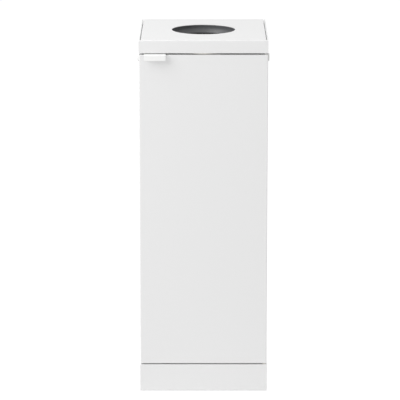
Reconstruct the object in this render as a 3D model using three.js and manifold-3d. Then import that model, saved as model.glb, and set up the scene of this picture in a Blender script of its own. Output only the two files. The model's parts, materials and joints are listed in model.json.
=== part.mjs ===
// Free-standing waste cabinet of folded sheet steel with a round drop-in inlet.
// Millimetres, +Z up. The origin lies on the floor under the middle of the cabinet, and its front faces -Y.
import * as THREE from 'three';
import { mergeVertices } from 'three/addons/utils/BufferGeometryUtils.js';
import Module from 'manifold-3d';

const wasm = await Module();
wasm.setup();

// Overall sizes
const WIDTH = 320; // over the side panels and the front lip
const DEPTH = 350; // from the front plane to the back of the side panels
const HEIGHT = 900; // floor to top
const STEEL = 1.2; // sheet of the body, the door and the cover
const FLANGE = 20; // turned-in edges of the side panels
const CLEARANCE = 0.3; // between pieces that are fitted together

// Top cover and inlet
const LIP_HEIGHT = 33; // front edge of the cover, folded down
const LIP_BEND = 3; // outer radius of that fold
const LIP_RETURN = 20; // the lip's lower edge, turned back
const SEAM = 1.3; // open joint between the cover and each side panel
const HEM_WIDTH = 3.3; // folded top edge of a side panel
const HEM_HEIGHT = 14; // also the depth of the cover's turned-down sides
const INLET_DIAMETER = 160;
const COLLAR_WALL = 3;
const COLLAR_DEPTH = 21.5; // from the top of the cover down to the collar's lower edge
const COLLAR_COVE = 2; // how far its wall bellies out below the hole
const COLLAR_NARROWING = 3; // how far its lower edge stands in from the hole
const COLLAR_FLANGE = 12; // how far the collar's flange reaches beyond its wall
const COLLAR_FLANGE_THICKNESS = 2;

// Plinth and base
const PLINTH_HEIGHT = 70;
const PLINTH_STEEL = 1.5;
const PLINTH_PROUD = 0.5; // how far the plinth stands out past each side panel
const PLINTH_SHELF = 40; // top flange of the front and rear strips
const PLINTH_SIDE_SHELF = 22; // top flange of the side strips
const PLINTH_FOOT = 15; // bottom flange of all four strips
const BASE_STOP = 12; // turned-up front edge of the base plate, which keeps the bin back

// Door
const DOOR_DEPTH = 20;
const DOOR_RETURN = 22; // the door's edges, turned in at the back
const DOOR_TOP_GAP = 3.4375;
const DOOR_BOTTOM_GAP = 2.6875;
const DOOR_SIDE_INSET = 1.1; // from the outer face of a side panel to the door's edge
const DOOR_REAR_GAP = 4; // between the closed door and the frame behind it
const STIFFENER_WIDTH = 50;
const STIFFENER_DEPTH = 12;
const STIFFENER_FOOT = 12;
const STIFFENER_END_GAP = 60;

// Door hinge: two pivot pins on one upright axis near the door's right edge
const HINGE_INSET = 6.1; // from the door's right edge
const HINGE_SETBACK = 7; // from the front plane
const PIN_DIAMETER = 4;
const PIN_HEAD_DIAMETER = 8;
const PIN_HEAD_HEIGHT = 2;
const PIN_REACH = 7; // how far a pin stands past the sheet that it turns in
const BUSH_WALL = 1.2;
const BUSH_LENGTH = 6;
const BUSH_COLLAR_DIAMETER = 9.2;

// Lift stop: a block under the lip that keeps the closed door on its lower pin
const STOP_WIDTH = 80;
const STOP_DEPTH = 14;
const STOP_THICKNESS = 2.4;
const STOP_SETBACK = 3; // from the front plane to the middle of its bowed front

// Pull tab on the door's top edge
const TAB_WIDTH = 54;
const TAB_THICKNESS = 2;
const TAB_REACH = 15; // in front of the door
const TAB_DROP = 15; // from its top down to its lower edge
const TAB_TAIL = 14; // how far it lies back on the door's top edge
const TAB_OFFSET = 12; // from the door's left edge
const TAB_CORNER = 3;
const RIVET_DIAMETER = 4;
const RIVET_HEAD_DIAMETER = 8;
const RIVET_HEAD_HEIGHT = 1.6;
const RIVET_SPACING = 34;

// Front rail and magnetic catch
const RAIL_HEIGHT = 40;
const RAIL_DEPTH = 18;
const RAIL_DROP = 5; // from the lip's lower edge down to the rail
const CATCH_WIDTH = 46;
const CATCH_HEIGHT = 18;
const CATCH_INSET = 65; // from the left side to the middle of the catch
const MAGNET_WIDTH = 30;
const MAGNET_HEIGHT = 8;
const MAGNET_DEPTH = 2.6;
const KEEPER_WIDTH = 36;
const KEEPER_HEIGHT = 14;
const KEEPER_THICKNESS = 0.8;
const BUMPER_DIAMETER = 8;
const BUMPER_INSET = 170; // from the door's lower and upper edges

// Round covers over the side panels' joining holes
const CAP_DIAMETER = 20;
const CAP_PROUD = 3.5;
const CAP_STUB_DIAMETER = 8;
const CAP_STUB_LENGTH = 3.5; // through the panel
const CAP_SETBACK = 50; // from the front plane
const CAP_DROP = 50; // from the top

// Back screws
const SCREW_DIAMETER = 3.5;
const SCREW_HEAD_DIAMETER = 8;
const SCREW_HEAD_HEIGHT = 2.2;
const SCREW_LENGTH = 9;
const SCREW_INSET = 10; // from the outer face of a side panel
const SCREW_END_INSET = 50; // from the plinth and from the cover's ledge to the outer screws

// Inner bin and the ring that holds its bag
const BIN_SIDE_GAP = 5; // between the bin's rim and the side panels' flanges
const BIN_END_GAP = 16; // between the rim and the frame before and behind it
const BIN_HEIGHT = 569;
const BIN_WALL = 1;
const BIN_CORNER = 24;
const BIN_TAPER = 0.07; // how much narrower the bottom is than the top
const BIN_RIM = 4; // how far the rolled rim stands out
const BIN_RIM_HEIGHT = 10;
const RING_BAND = 7;
const RING_THICKNESS = 5;
const KNUCKLE_DIAMETER = 10;
const KNUCKLE_LENGTH = 16;
const KNUCKLE_SETBACK = 7; // from the bin's rim back to the ring's axis
const KNUCKLE_HEIGHT = 6; // from the top of the bin up to the ring's axis
const KNUCKLE_INSET = 55; // from the side of the rim to the middle of a knuckle
const RING_PIN_DIAMETER = 4;
const BRACKET_STEEL = 2;
const BRACKET_DROP = 24; // how far down the bin's back a bracket reaches
const BRACKET_SEAT = 0.05; // between its plate and the rim that it is welded to
const CHEEK_RELIEF = 2.6; // how far its cheeks stand back over the rim

// Levelling feet
const FOOT_INSET = 42; // from the outer face of a side panel
const FOOT_SETBACK = 62; // from the front plane and from the back
const FOOT_PAD_DIAMETER = 34;
const FOOT_PAD_HEIGHT = 6;
const FOOT_STUD_DIAMETER = 8;
const FOOT_STUD_TOP = 66;
const FOOT_NUT_DIAMETER = 16;
const FOOT_NUT_LENGTH = 24;
const FOOT_PLATE = 40;
const FOOT_PLATE_THICKNESS = 2;

// Places that follow from the sizes
const HALF = WIDTH / 2;
const FRONT = (TAB_REACH - DEPTH - SCREW_HEAD_HEIGHT) / 2;
const BACK = FRONT + DEPTH;
const INLET_Y = (FRONT + BACK) / 2;
const LIP_BOTTOM = HEIGHT - LIP_HEIGHT;
const LEDGE_TOP = HEIGHT - HEM_HEIGHT; // the side panels' ledge, on which the cover rests
const LEDGE_BOTTOM = LEDGE_TOP - STEEL;
const COVER_HALF = HALF - HEM_WIDTH - SEAM;
const INNER_HALF = HALF - STEEL; // inner face of a side panel
const FITTED_HALF = INNER_HALF - CLEARANCE;
const FRAME_FRONT = FRONT + DOOR_DEPTH + DOOR_REAR_GAP;
const FRAME_INSIDE = FRAME_FRONT + STEEL;
const DOOR_LEFT = -HALF + DOOR_SIDE_INSET;
const DOOR_RIGHT = HALF - DOOR_SIDE_INSET;
const DOOR_BOTTOM = PLINTH_HEIGHT + DOOR_BOTTOM_GAP;
const DOOR_TOP = LIP_BOTTOM - DOOR_TOP_GAP;
const DOOR_BACK = FRONT + DOOR_DEPTH;
const HINGE_X = DOOR_RIGHT - HINGE_INSET;
const HINGE_Y = FRONT + HINGE_SETBACK;
const BUSH_INNER = PIN_DIAMETER + 2 * CLEARANCE;
const BUSH_OUTER = BUSH_INNER + 2 * BUSH_WALL;
const BUSH_HOLE = BUSH_OUTER + 2 * CLEARANCE;
const PIN_HOLE = PIN_DIAMETER + 2 * CLEARANCE;
const TAB_LEFT = DOOR_LEFT + TAB_OFFSET;
const TAB_X = TAB_LEFT + TAB_WIDTH / 2;
const RIVET_HOLE = RIVET_DIAMETER + 2 * CLEARANCE;
const RIVET_Y = FRONT + TAB_TAIL / 2;
const RAIL_TOP = LIP_BOTTOM - RAIL_DROP;
const RAIL_BOTTOM = RAIL_TOP - RAIL_HEIGHT;
const CATCH_X = CATCH_INSET - HALF;
const CATCH_TOP = RAIL_TOP - 1;
const CATCH_MIDDLE = CATCH_TOP - CATCH_HEIGHT / 2;
const CATCH_FRONT = DOOR_BACK + KEEPER_THICKNESS + CLEARANCE;
const BIN_FLOOR = PLINTH_HEIGHT + STEEL + CLEARANCE;
const BIN_TOP = BIN_FLOOR + BIN_HEIGHT;
const BIN_Y = (FRAME_INSIDE + BACK - 2 * STEEL) / 2;
const RIM_HALF_WIDTH = HALF - FLANGE - BIN_SIDE_GAP;
const RIM_HALF_DEPTH = (BACK - 2 * STEEL - FRAME_INSIDE) / 2 - BIN_END_GAP;
const BIN_WIDTH = 2 * (RIM_HALF_WIDTH - BIN_RIM);
const BIN_DEPTH = 2 * (RIM_HALF_DEPTH - BIN_RIM);
const KNUCKLE_X = RIM_HALF_WIDTH - KNUCKLE_INSET;
const RING_AXIS_Y = BIN_Y + RIM_HALF_DEPTH + KNUCKLE_SETBACK;
const RING_AXIS_Z = BIN_TOP + KNUCKLE_HEIGHT;
const FOOT_X = HALF - FOOT_INSET;
const FOOT_PLATE_BOTTOM = PLINTH_HEIGHT - FOOT_PLATE_THICKNESS;
const SCREW_HEIGHTS = {
  low: PLINTH_HEIGHT + SCREW_END_INSET,
  middle: (PLINTH_HEIGHT + LEDGE_BOTTOM) / 2,
  high: LEDGE_BOTTOM - SCREW_END_INSET,
};
const BUMPER_HEIGHTS = [DOOR_BOTTOM + BUMPER_INSET, DOOR_TOP - BUMPER_INSET];

// Number of flats round a curve, and steps of the coordinate grid in a millimetre
const FINE_ROUND = 64;
const ROUND = 20;
const HEXAGON = 6;
const GRID = 2048;

const white = finish(0xe9e9e8, 0.45, 0);
const zinc = finish(0xb9bcbe, 0.35, 0.9);
const galvanised = finish(0xa9adb0, 0.5, 0.8);
const darkPlastic = finish(0x4c4d4e, 0.45, 0);
const blackRubber = finish(0x222222, 0.8, 0);
const blackPlastic = finish(0x2a2a2b, 0.5, 0);
const nylon = finish(0xe4e2db, 0.5, 0);
const magnetGrey = finish(0x3b3b3d, 0.6, 0.3);
const capGrey = finish(0xd9d9d8, 0.4, 0);

function finish(color, roughness, metalness) {
  return new THREE.MeshStandardMaterial({ color, roughness, metalness });
}

// A closed geometry as a solid that can be cut and joined. Coordinates are rounded to a grid, so that
// faces meant to lie in one plane do.
function solid(geometry) {
  geometry.deleteAttribute('normal');
  geometry.deleteAttribute('uv');
  const merged = mergeVertices(geometry, 1e-4);
  return new wasm.Manifold(new wasm.Mesh({
    numProp: 3,
    vertProperties: merged.attributes.position.array.map((value) => Math.round(value * GRID) / GRID),
    triVerts: new Uint32Array(merged.index.array),
  }));
}

function geometryOf(body) {
  const { vertProperties, triVerts } = body.getMesh();
  const geometry = new THREE.BufferGeometry();
  geometry.setAttribute('position', new THREE.BufferAttribute(vertProperties, 3));
  geometry.setIndex(new THREE.BufferAttribute(triVerts, 1));
  return geometry;
}

// A block from its limits along x, y and z.
function block([x0, x1], [y0, y1], [z0, z1]) {
  const geometry = new THREE.BoxGeometry(x1 - x0, y1 - y0, z1 - z0);
  return solid(geometry.translate((x0 + x1) / 2, (y0 + y1) / 2, (z0 + z1) / 2));
}

// An upright round bar between two heights.
function rod(diameter, [z0, z1], x = 0, y = 0, flats = ROUND) {
  const geometry = new THREE.CylinderGeometry(diameter / 2, diameter / 2, z1 - z0, flats);
  return solid(geometry.rotateX(Math.PI / 2).translate(x, y, (z0 + z1) / 2));
}

// The same bar lying along y.
function rodAlongY(diameter, [y0, y1], x, z) {
  const geometry = new THREE.CylinderGeometry(diameter / 2, diameter / 2, y1 - y0, ROUND);
  return solid(geometry.translate(x, (y0 + y1) / 2, z));
}

// The same bar lying along x.
function rodAlongX(diameter, [x0, x1], y, z) {
  const geometry = new THREE.CylinderGeometry(diameter / 2, diameter / 2, x1 - x0, ROUND);
  return solid(geometry.rotateZ(Math.PI / 2).translate((x0 + x1) / 2, y, z));
}

function join(...parts) {
  return parts.reduce((whole, part) => whole.add(part));
}

function cut(whole, ...tools) {
  return tools.reduce((rest, tool) => rest.subtract(tool), whole);
}

function corners(...pairs) {
  return pairs.map(([across, up]) => new THREE.Vector2(across, up));
}

// A profile drawn in y and z, pulled out along x.
function pulledAlongX(points, [x0, x1]) {
  const geometry = new THREE.ExtrudeGeometry(new THREE.Shape(points), { depth: x1 - x0, bevelEnabled: false });
  const turn = new THREE.Matrix4().makeBasis(
    new THREE.Vector3(0, 1, 0),
    new THREE.Vector3(0, 0, 1),
    new THREE.Vector3(1, 0, 0),
  );
  return solid(geometry.applyMatrix4(turn).translate(x0, 0, 0));
}

// An outline drawn in x and y, pulled up between two heights.
function pulledUp(points, [z0, z1]) {
  const outline = new THREE.Shape(corners(...points));
  return solid(new THREE.ExtrudeGeometry(outline, { depth: z1 - z0, bevelEnabled: false }).translate(0, 0, z0));
}

// Points of a quarter bend round a centre, in the y-z plane, from one angle to another.
function bend(y, z, radius, fromDegrees, toDegrees, steps = 6) {
  return Array.from({ length: steps + 1 }, (_, i) => {
    const angle = THREE.MathUtils.degToRad(fromDegrees + (toDegrees - fromDegrees) * i / steps);
    return new THREE.Vector2(y + radius * Math.cos(angle), z + radius * Math.sin(angle));
  });
}

// A rectangle with round corners, centred on the origin.
function roundedRectangle(width, depth, radius) {
  const shape = new THREE.Shape();
  const [x, y] = [width / 2 - radius, depth / 2 - radius];
  shape.absarc(x, y, radius, 0, Math.PI / 2);
  shape.absarc(-x, y, radius, Math.PI / 2, Math.PI);
  shape.absarc(-x, -y, radius, Math.PI, 1.5 * Math.PI);
  shape.absarc(x, -y, radius, 1.5 * Math.PI, 2 * Math.PI);
  return shape;
}

// A block with round upright edges. Its foot is drawn in by a share of its size, 0 for a straight block.
function roundedBlock(width, depth, radius, [z0, z1], drawnIn = 0) {
  const shape = roundedRectangle(width, depth, radius);
  const geometry = new THREE.ExtrudeGeometry(shape, { depth: z1 - z0, bevelEnabled: false, curveSegments: 6 });
  geometry.translate(0, 0, z0);
  const { position } = geometry.attributes;
  for (let i = 0; i < position.count; i += 1) {
    const scale = 1 - drawnIn * (z1 - position.getZ(i)) / (z1 - z0);
    position.setXY(i, position.getX(i) * scale, position.getY(i) * scale);
  }
  return solid(geometry);
}

function named(name, body, material, x = 0, y = 0, z = 0) {
  const mesh = new THREE.Mesh(geometryOf(body), material);
  mesh.name = name;
  mesh.position.set(x, y, z);
  return mesh;
}

// Side panel: a sheet with turned-in flanges, a folded hem along its top and an ear that closes the
// lip's end. side is -1 for the left and 1 for the right.
function sidePanel(side) {
  const across = (inner, outer) => (side > 0 ? [inner, outer] : [-outer, -inner]);
  const sheet = across(INNER_HALF, HALF);
  const flange = across(HALF - FLANGE, HALF);
  const hem = across(HALF - HEM_WIDTH, HALF);
  const earFront = FRONT + LIP_BEND + CLEARANCE;
  const tuckedFront = FRONT + STEEL + CLEARANCE;
  const panel = join(
    block(sheet, [FRAME_FRONT, BACK], [PLINTH_HEIGHT, HEIGHT]),
    block(sheet, [earFront, FRAME_FRONT], [LIP_BOTTOM, HEIGHT]),
    block(sheet, [tuckedFront, earFront], [LIP_BOTTOM, HEIGHT - LIP_BEND - CLEARANCE]),
    block(hem, [earFront, BACK], [LEDGE_BOTTOM, HEIGHT]),
    block(flange, [earFront, BACK], [LEDGE_BOTTOM, LEDGE_TOP]),
    block(flange, [FRAME_FRONT, FRAME_INSIDE], [PLINTH_HEIGHT, LEDGE_TOP]),
    block(flange, [BACK - STEEL, BACK], [PLINTH_HEIGHT, LEDGE_TOP]),
  );
  const screwHoles = Object.values(SCREW_HEIGHTS).map((z) => rodAlongY(
    SCREW_DIAMETER + 2 * CLEARANCE,
    [BACK - 2 * STEEL, BACK + STEEL],
    side * (HALF - SCREW_INSET),
    z,
  ));
  const capHole = rodAlongX(
    CAP_STUB_DIAMETER + 2 * CLEARANCE,
    across(INNER_HALF - STEEL, HALF + STEEL),
    FRONT + CAP_SETBACK,
    HEIGHT - CAP_DROP,
  );
  return cut(panel, capHole, ...screwHoles);
}

// Cover: one sheet that makes the top, the front lip with its turned-back edge, and the turned-down
// sides and back that rest on the side panels' ledges.
function topCover() {
  const inner = LIP_BEND - STEEL;
  const [bendY, bendZ] = [FRONT + LIP_BEND, HEIGHT - LIP_BEND];
  const sheet = pulledAlongX([
    ...corners([FRONT + STEEL, LIP_BOTTOM]),
    ...bend(bendY, bendZ, inner, 180, 90),
    ...corners([BACK, HEIGHT - STEEL], [BACK, HEIGHT]),
    ...bend(bendY, bendZ, LIP_BEND, 90, 180),
    ...corners([FRONT, LIP_BOTTOM]),
  ], [-HALF, HALF]);
  const besideCover = [-1, 1].map((side) => block(
    side > 0 ? [COVER_HALF, HALF + 1] : [-HALF - 1, -COVER_HALF],
    [bendY, BACK + 1],
    [LEDGE_TOP - 1, HEIGHT + 1],
  ));
  const turnedDown = [LEDGE_TOP, HEIGHT - STEEL / 2];
  const cover = join(
    cut(sheet, ...besideCover),
    block(
      [-FITTED_HALF, FITTED_HALF],
      [FRONT + STEEL / 2, FRONT + LIP_RETURN],
      [LIP_BOTTOM, LIP_BOTTOM + STEEL],
    ),
    block([-COVER_HALF, STEEL - COVER_HALF], [bendY + STEEL, BACK], turnedDown),
    block([COVER_HALF - STEEL, COVER_HALF], [bendY + STEEL, BACK], turnedDown),
    block([-COVER_HALF, COVER_HALF], [BACK - STEEL, BACK], turnedDown),
  );
  return cut(
    cover,
    rod(INLET_DIAMETER, [HEIGHT - 2 * STEEL, HEIGHT + STEEL], 0, INLET_Y, FINE_ROUND),
    rod(BUSH_HOLE, [LIP_BOTTOM - STEEL, LIP_BOTTOM + 2 * STEEL], HINGE_X, HINGE_Y),
  );
}

// Collar: a moulded ring under the hole, with a flange against the underside of the cover. Its wall
// is a cove, drawn here from one share of its height to another, 0 at the top.
function inletCollar() {
  const inner = INLET_DIAMETER / 2;
  const outer = inner + COLLAR_WALL;
  const top = -STEEL;
  const height = COLLAR_DEPTH - STEEL;
  const steps = 10;
  const cove = (radius, from, to) => Array.from({ length: steps + 1 }, (_, i) => {
    const share = from + (to - from) * i / steps;
    const belly = COLLAR_COVE * Math.sin(Math.PI * share);
    return [radius + belly - COLLAR_NARROWING * share, top - height * share];
  });
  const profile = [
    ...cove(outer, 1, COLLAR_FLANGE_THICKNESS / height),
    [outer + COLLAR_FLANGE, top - COLLAR_FLANGE_THICKNESS],
    [outer + COLLAR_FLANGE, top],
    ...cove(inner, 0, 1),
  ];
  profile.push(profile[0]);
  return solid(new THREE.LatheGeometry(corners(...profile), FINE_ROUND).rotateX(Math.PI / 2));
}

function backPanel() {
  const panel = block(
    [-FITTED_HALF, FITTED_HALF],
    [BACK - 2 * STEEL, BACK - STEEL],
    [PLINTH_HEIGHT, LEDGE_BOTTOM - CLEARANCE],
  );
  const holes = [-1, 1].flatMap((side) => Object.values(SCREW_HEIGHTS).map((z) => rodAlongY(
    SCREW_DIAMETER + 2 * CLEARANCE,
    [BACK - 3 * STEEL, BACK],
    side * (HALF - SCREW_INSET),
    z,
  )));
  return cut(panel, ...holes);
}

// Screw with its head behind y = 0 and its shank reaching forward.
function backScrew() {
  return join(
    rodAlongY(SCREW_HEAD_DIAMETER, [0, SCREW_HEAD_HEIGHT], 0, 0),
    rodAlongY(SCREW_DIAMETER, [-SCREW_LENGTH, SCREW_HEAD_HEIGHT / 2], 0, 0),
  );
}

function basePlate() {
  const [front, back] = [FRAME_INSIDE + CLEARANCE, BACK - 2 * STEEL - CLEARANCE];
  const [under, top] = [PLINTH_HEIGHT, PLINTH_HEIGHT + STEEL];
  return pulledAlongX(corners(
    [front, under],
    [back, under],
    [back, top],
    [front + STEEL, top],
    [front + STEEL, PLINTH_HEIGHT + BASE_STOP],
    [front, PLINTH_HEIGHT + BASE_STOP],
  ), [-FITTED_HALF, FITTED_HALF]);
}

// Front or rear plinth strip. facing is -1 for the front and 1 for the rear.
function plinthAcross(facing) {
  const outside = facing < 0 ? FRONT : BACK;
  const along = (depth) => (facing < 0 ? [outside, outside + depth] : [outside - depth, outside]);
  const outer = HALF + PLINTH_PROUD;
  const inner = outer - PLINTH_STEEL - CLEARANCE;
  const strip = join(
    block([-outer, outer], along(PLINTH_STEEL), [0, PLINTH_HEIGHT]),
    block([-inner, inner], along(PLINTH_SHELF), [PLINTH_HEIGHT - PLINTH_STEEL, PLINTH_HEIGHT]),
    block([-inner, inner], along(PLINTH_FOOT), [0, PLINTH_STEEL]),
  );
  const pinHole = rod(
    PIN_HOLE,
    [PLINTH_HEIGHT - 2 * PLINTH_STEEL, PLINTH_HEIGHT + PLINTH_STEEL],
    HINGE_X,
    HINGE_Y,
  );
  return facing < 0 ? cut(strip, pinHole) : strip;
}

function plinthSide(side) {
  const outer = HALF + PLINTH_PROUD;
  const across = (depth) => (side > 0 ? [outer - depth, outer] : [-outer, depth - outer]);
  const between = (inset) => [FRONT + inset + CLEARANCE, BACK - inset - CLEARANCE];
  return join(
    block(across(PLINTH_STEEL), between(PLINTH_STEEL), [0, PLINTH_HEIGHT]),
    block(across(PLINTH_SIDE_SHELF), between(PLINTH_SHELF), [PLINTH_HEIGHT - PLINTH_STEEL, PLINTH_HEIGHT]),
    block(across(PLINTH_FOOT), between(PLINTH_FOOT), [0, PLINTH_STEEL]),
  );
}

// Rail: a channel behind the door's top edge that ties the side panels together.
function topFrontRail() {
  const [front, back] = [FRAME_INSIDE, FRAME_INSIDE + RAIL_DEPTH];
  return pulledAlongX(corners(
    [front, RAIL_BOTTOM],
    [back, RAIL_BOTTOM],
    [back, RAIL_BOTTOM + STEEL],
    [front + STEEL, RAIL_BOTTOM + STEEL],
    [front + STEEL, RAIL_TOP - STEEL],
    [back, RAIL_TOP - STEEL],
    [back, RAIL_TOP],
    [front, RAIL_TOP],
  ), [-FITTED_HALF, FITTED_HALF]);
}

// Catch housing on the rail's front face, with a pocket for the magnet.
function magnetHousing() {
  const half = CATCH_WIDTH / 2;
  const pocketHalf = MAGNET_WIDTH / 2 + CLEARANCE;
  const pocketRise = MAGNET_HEIGHT / 2 + CLEARANCE;
  return cut(
    block([-half, half], [CATCH_FRONT, FRAME_INSIDE], [-CATCH_HEIGHT / 2, CATCH_HEIGHT / 2]),
    block(
      [-pocketHalf, pocketHalf],
      [CATCH_FRONT - CLEARANCE, CATCH_FRONT + MAGNET_DEPTH + CLEARANCE],
      [-pocketRise, pocketRise],
    ),
  );
}

function catchMagnet() {
  const [half, rise] = [MAGNET_WIDTH / 2, MAGNET_HEIGHT / 2];
  return block([-half, half], [CATCH_FRONT, CATCH_FRONT + MAGNET_DEPTH], [-rise, rise]);
}

// Side cap, pressed into a hole in the panel; its face looks along +x.
function sideCap() {
  return join(
    rodAlongX(CAP_DIAMETER, [0, CAP_PROUD], 0, 0),
    rodAlongX(CAP_STUB_DIAMETER, [-CAP_STUB_LENGTH, CAP_PROUD / 2], 0, 0),
  );
}

// Lift stop under the lip: flat at the back, with a bowed front that stands furthest forward in its middle.
function liftStop() {
  const half = STOP_WIDTH / 2;
  const steps = 16;
  const bow = Array.from({ length: steps + 1 }, (_, i) => {
    const share = 2 * i / steps - 1;
    return [half * share, STOP_SETBACK + STOP_DEPTH * share * share];
  });
  return pulledUp(bow, [-STOP_THICKNESS, 0]);
}

// Pivot bush with its collar on top of z = 0 and its sleeve between two heights.
function pivotBush([sleeveBottom, sleeveTop], collar) {
  return cut(
    join(rod(BUSH_OUTER, [sleeveBottom, sleeveTop]), rod(BUSH_COLLAR_DIAMETER, collar)),
    rod(BUSH_INNER, [sleeveBottom - STEEL, sleeveTop + STEEL]),
  );
}

// Pivot pin standing on a riveted head whose top lies at z = 0.
function pivotPin(length) {
  return join(
    rod(PIN_HEAD_DIAMETER, [-PIN_HEAD_HEIGHT, 0]),
    rod(PIN_DIAMETER, [-PIN_HEAD_HEIGHT / 2, length]),
  );
}

// Door: a shallow tray with its edges turned in at the back.
function doorPanel() {
  const tray = block([DOOR_LEFT, DOOR_RIGHT], [FRONT, DOOR_BACK], [DOOR_BOTTOM, DOOR_TOP]);
  const hollow = block(
    [DOOR_LEFT + STEEL, DOOR_RIGHT - STEEL],
    [FRONT + STEEL, DOOR_BACK - STEEL],
    [DOOR_BOTTOM + STEEL, DOOR_TOP - STEEL],
  );
  const window = block(
    [DOOR_LEFT + DOOR_RETURN, DOOR_RIGHT - DOOR_RETURN],
    [DOOR_BACK - 2 * STEEL, DOOR_BACK + STEEL],
    [DOOR_BOTTOM + DOOR_RETURN, DOOR_TOP - DOOR_RETURN],
  );
  const rivetHoles = [-1, 1].map((side) => rod(
    RIVET_HOLE,
    [DOOR_TOP - 2 * STEEL, DOOR_TOP + STEEL],
    TAB_X + side * RIVET_SPACING / 2,
    RIVET_Y,
  ));
  return cut(
    tray,
    hollow,
    window,
    rod(PIN_HOLE, [DOOR_TOP - 2 * STEEL, DOOR_TOP + STEEL], HINGE_X, HINGE_Y),
    rod(BUSH_HOLE, [DOOR_BOTTOM - STEEL, DOOR_BOTTOM + 2 * STEEL], HINGE_X, HINGE_Y),
    ...rivetHoles,
  );
}

// Stiffener: a hat-shaped channel up the middle of the door's inner face.
function doorStiffener() {
  const half = STIFFENER_WIDTH / 2;
  const foot = half + STIFFENER_FOOT;
  const [inside, footBack, back] = [FRONT + STEEL, FRONT + 2 * STEEL, FRONT + STEEL + STIFFENER_DEPTH];
  const rightHalf = [
    [half - STEEL, back - STEEL],
    [half - STEEL, inside],
    [foot, inside],
    [foot, footBack],
    [half, footBack],
    [half, back],
  ];
  const leftHalf = rightHalf.map(([x, y]) => [-x, y]).reverse();
  return pulledUp([...rightHalf, ...leftHalf], [DOOR_BOTTOM + STIFFENER_END_GAP, DOOR_TOP - STIFFENER_END_GAP]);
}

// Pull tab: a strip that lies on the door's top edge, reaches forward and folds down.
// Its own origin is the middle of its width, at the front plane and the door's top.
function doorHandle() {
  const half = TAB_WIDTH / 2;
  const outer = TAB_THICKNESS * 1.5;
  const inner = outer - TAB_THICKNESS;
  const [bendY, bendZ] = [outer - TAB_REACH, TAB_THICKNESS - outer];
  const lower = TAB_THICKNESS - TAB_DROP;
  const strip = pulledAlongX([
    ...corners([TAB_THICKNESS - TAB_REACH, lower]),
    ...bend(bendY, bendZ, inner, 180, 90),
    ...corners([TAB_TAIL, 0], [TAB_TAIL, TAB_THICKNESS]),
    ...bend(bendY, bendZ, outer, 90, 180),
    ...corners([-TAB_REACH, lower]),
  ], [-half, half]);
  const roundings = [-1, 1].map((side) => {
    const x = side * (half - TAB_CORNER);
    const z = lower + TAB_CORNER;
    const square = block(
      side > 0 ? [x, half + 1] : [-half - 1, x],
      [-TAB_REACH - 1, TAB_THICKNESS - TAB_REACH + 1],
      [lower - 1, z],
    );
    return cut(square, rodAlongY(2 * TAB_CORNER, [-TAB_REACH - 2, TAB_THICKNESS - TAB_REACH + 2], x, z));
  });
  const holes = [-1, 1].map((side) => rod(
    RIVET_HOLE,
    [-1, TAB_THICKNESS + 1],
    side * RIVET_SPACING / 2,
    TAB_TAIL / 2,
  ));
  return cut(strip, ...roundings, ...holes);
}

// Rivet with its head under the door's top flange and its shank flush with the tab.
function handleRivet() {
  const headTop = -STEEL;
  return join(
    rod(RIVET_HEAD_DIAMETER, [headTop - RIVET_HEAD_HEIGHT, headTop]),
    rod(RIVET_DIAMETER, [headTop - RIVET_HEAD_HEIGHT / 2, TAB_THICKNESS]),
  );
}

// Bin: a tapered tub with rounded corners and a rim that stands out round its mouth.
function innerBin() {
  const [mouthWidth, mouthDepth] = [BIN_WIDTH - 2 * BIN_WALL, BIN_DEPTH - 2 * BIN_WALL];
  const mouthCorner = BIN_CORNER - BIN_WALL;
  const tub = cut(
    roundedBlock(BIN_WIDTH, BIN_DEPTH, BIN_CORNER, [0, BIN_HEIGHT], BIN_TAPER),
    roundedBlock(mouthWidth, mouthDepth, mouthCorner, [BIN_WALL, BIN_HEIGHT], BIN_TAPER),
  );
  const rimHeight = [BIN_HEIGHT - BIN_RIM_HEIGHT, BIN_HEIGHT];
  const rim = cut(
    roundedBlock(2 * RIM_HALF_WIDTH, 2 * RIM_HALF_DEPTH, BIN_CORNER + BIN_RIM, rimHeight),
    roundedBlock(mouthWidth, mouthDepth, mouthCorner, [0, BIN_HEIGHT + 1]),
  );
  return join(tub, rim);
}

// Bag ring: a flat hoop on the bin's rim, with two knuckles behind it.
// Its own origin is the middle of the bin, at the top of the rim.
function bagRing() {
  const [width, depth, corner] = [2 * RIM_HALF_WIDTH, 2 * RIM_HALF_DEPTH, BIN_CORNER + BIN_RIM];
  const height = [CLEARANCE, CLEARANCE + RING_THICKNESS];
  const hoop = cut(
    roundedBlock(width, depth, corner, height),
    roundedBlock(width - 2 * RING_BAND, depth - 2 * RING_BAND, corner - RING_BAND, [0, 2 * RING_THICKNESS]),
  );
  const axisY = RIM_HALF_DEPTH + KNUCKLE_SETBACK;
  const knuckles = [-1, 1].map((side) => {
    const middle = side * KNUCKLE_X;
    const along = [middle - KNUCKLE_LENGTH / 2, middle + KNUCKLE_LENGTH / 2];
    const arm = block(along, [RIM_HALF_DEPTH - RING_BAND / 2, axisY], height);
    return join(arm, rodAlongX(KNUCKLE_DIAMETER, along, axisY, KNUCKLE_HEIGHT));
  });
  const bores = [-1, 1].map((side) => {
    const middle = side * KNUCKLE_X;
    const along = [middle - KNUCKLE_LENGTH, middle + KNUCKLE_LENGTH];
    return rodAlongX(RING_PIN_DIAMETER + 2 * CLEARANCE, along, axisY, KNUCKLE_HEIGHT);
  });
  return cut(join(hoop, ...knuckles), ...bores);
}

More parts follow.
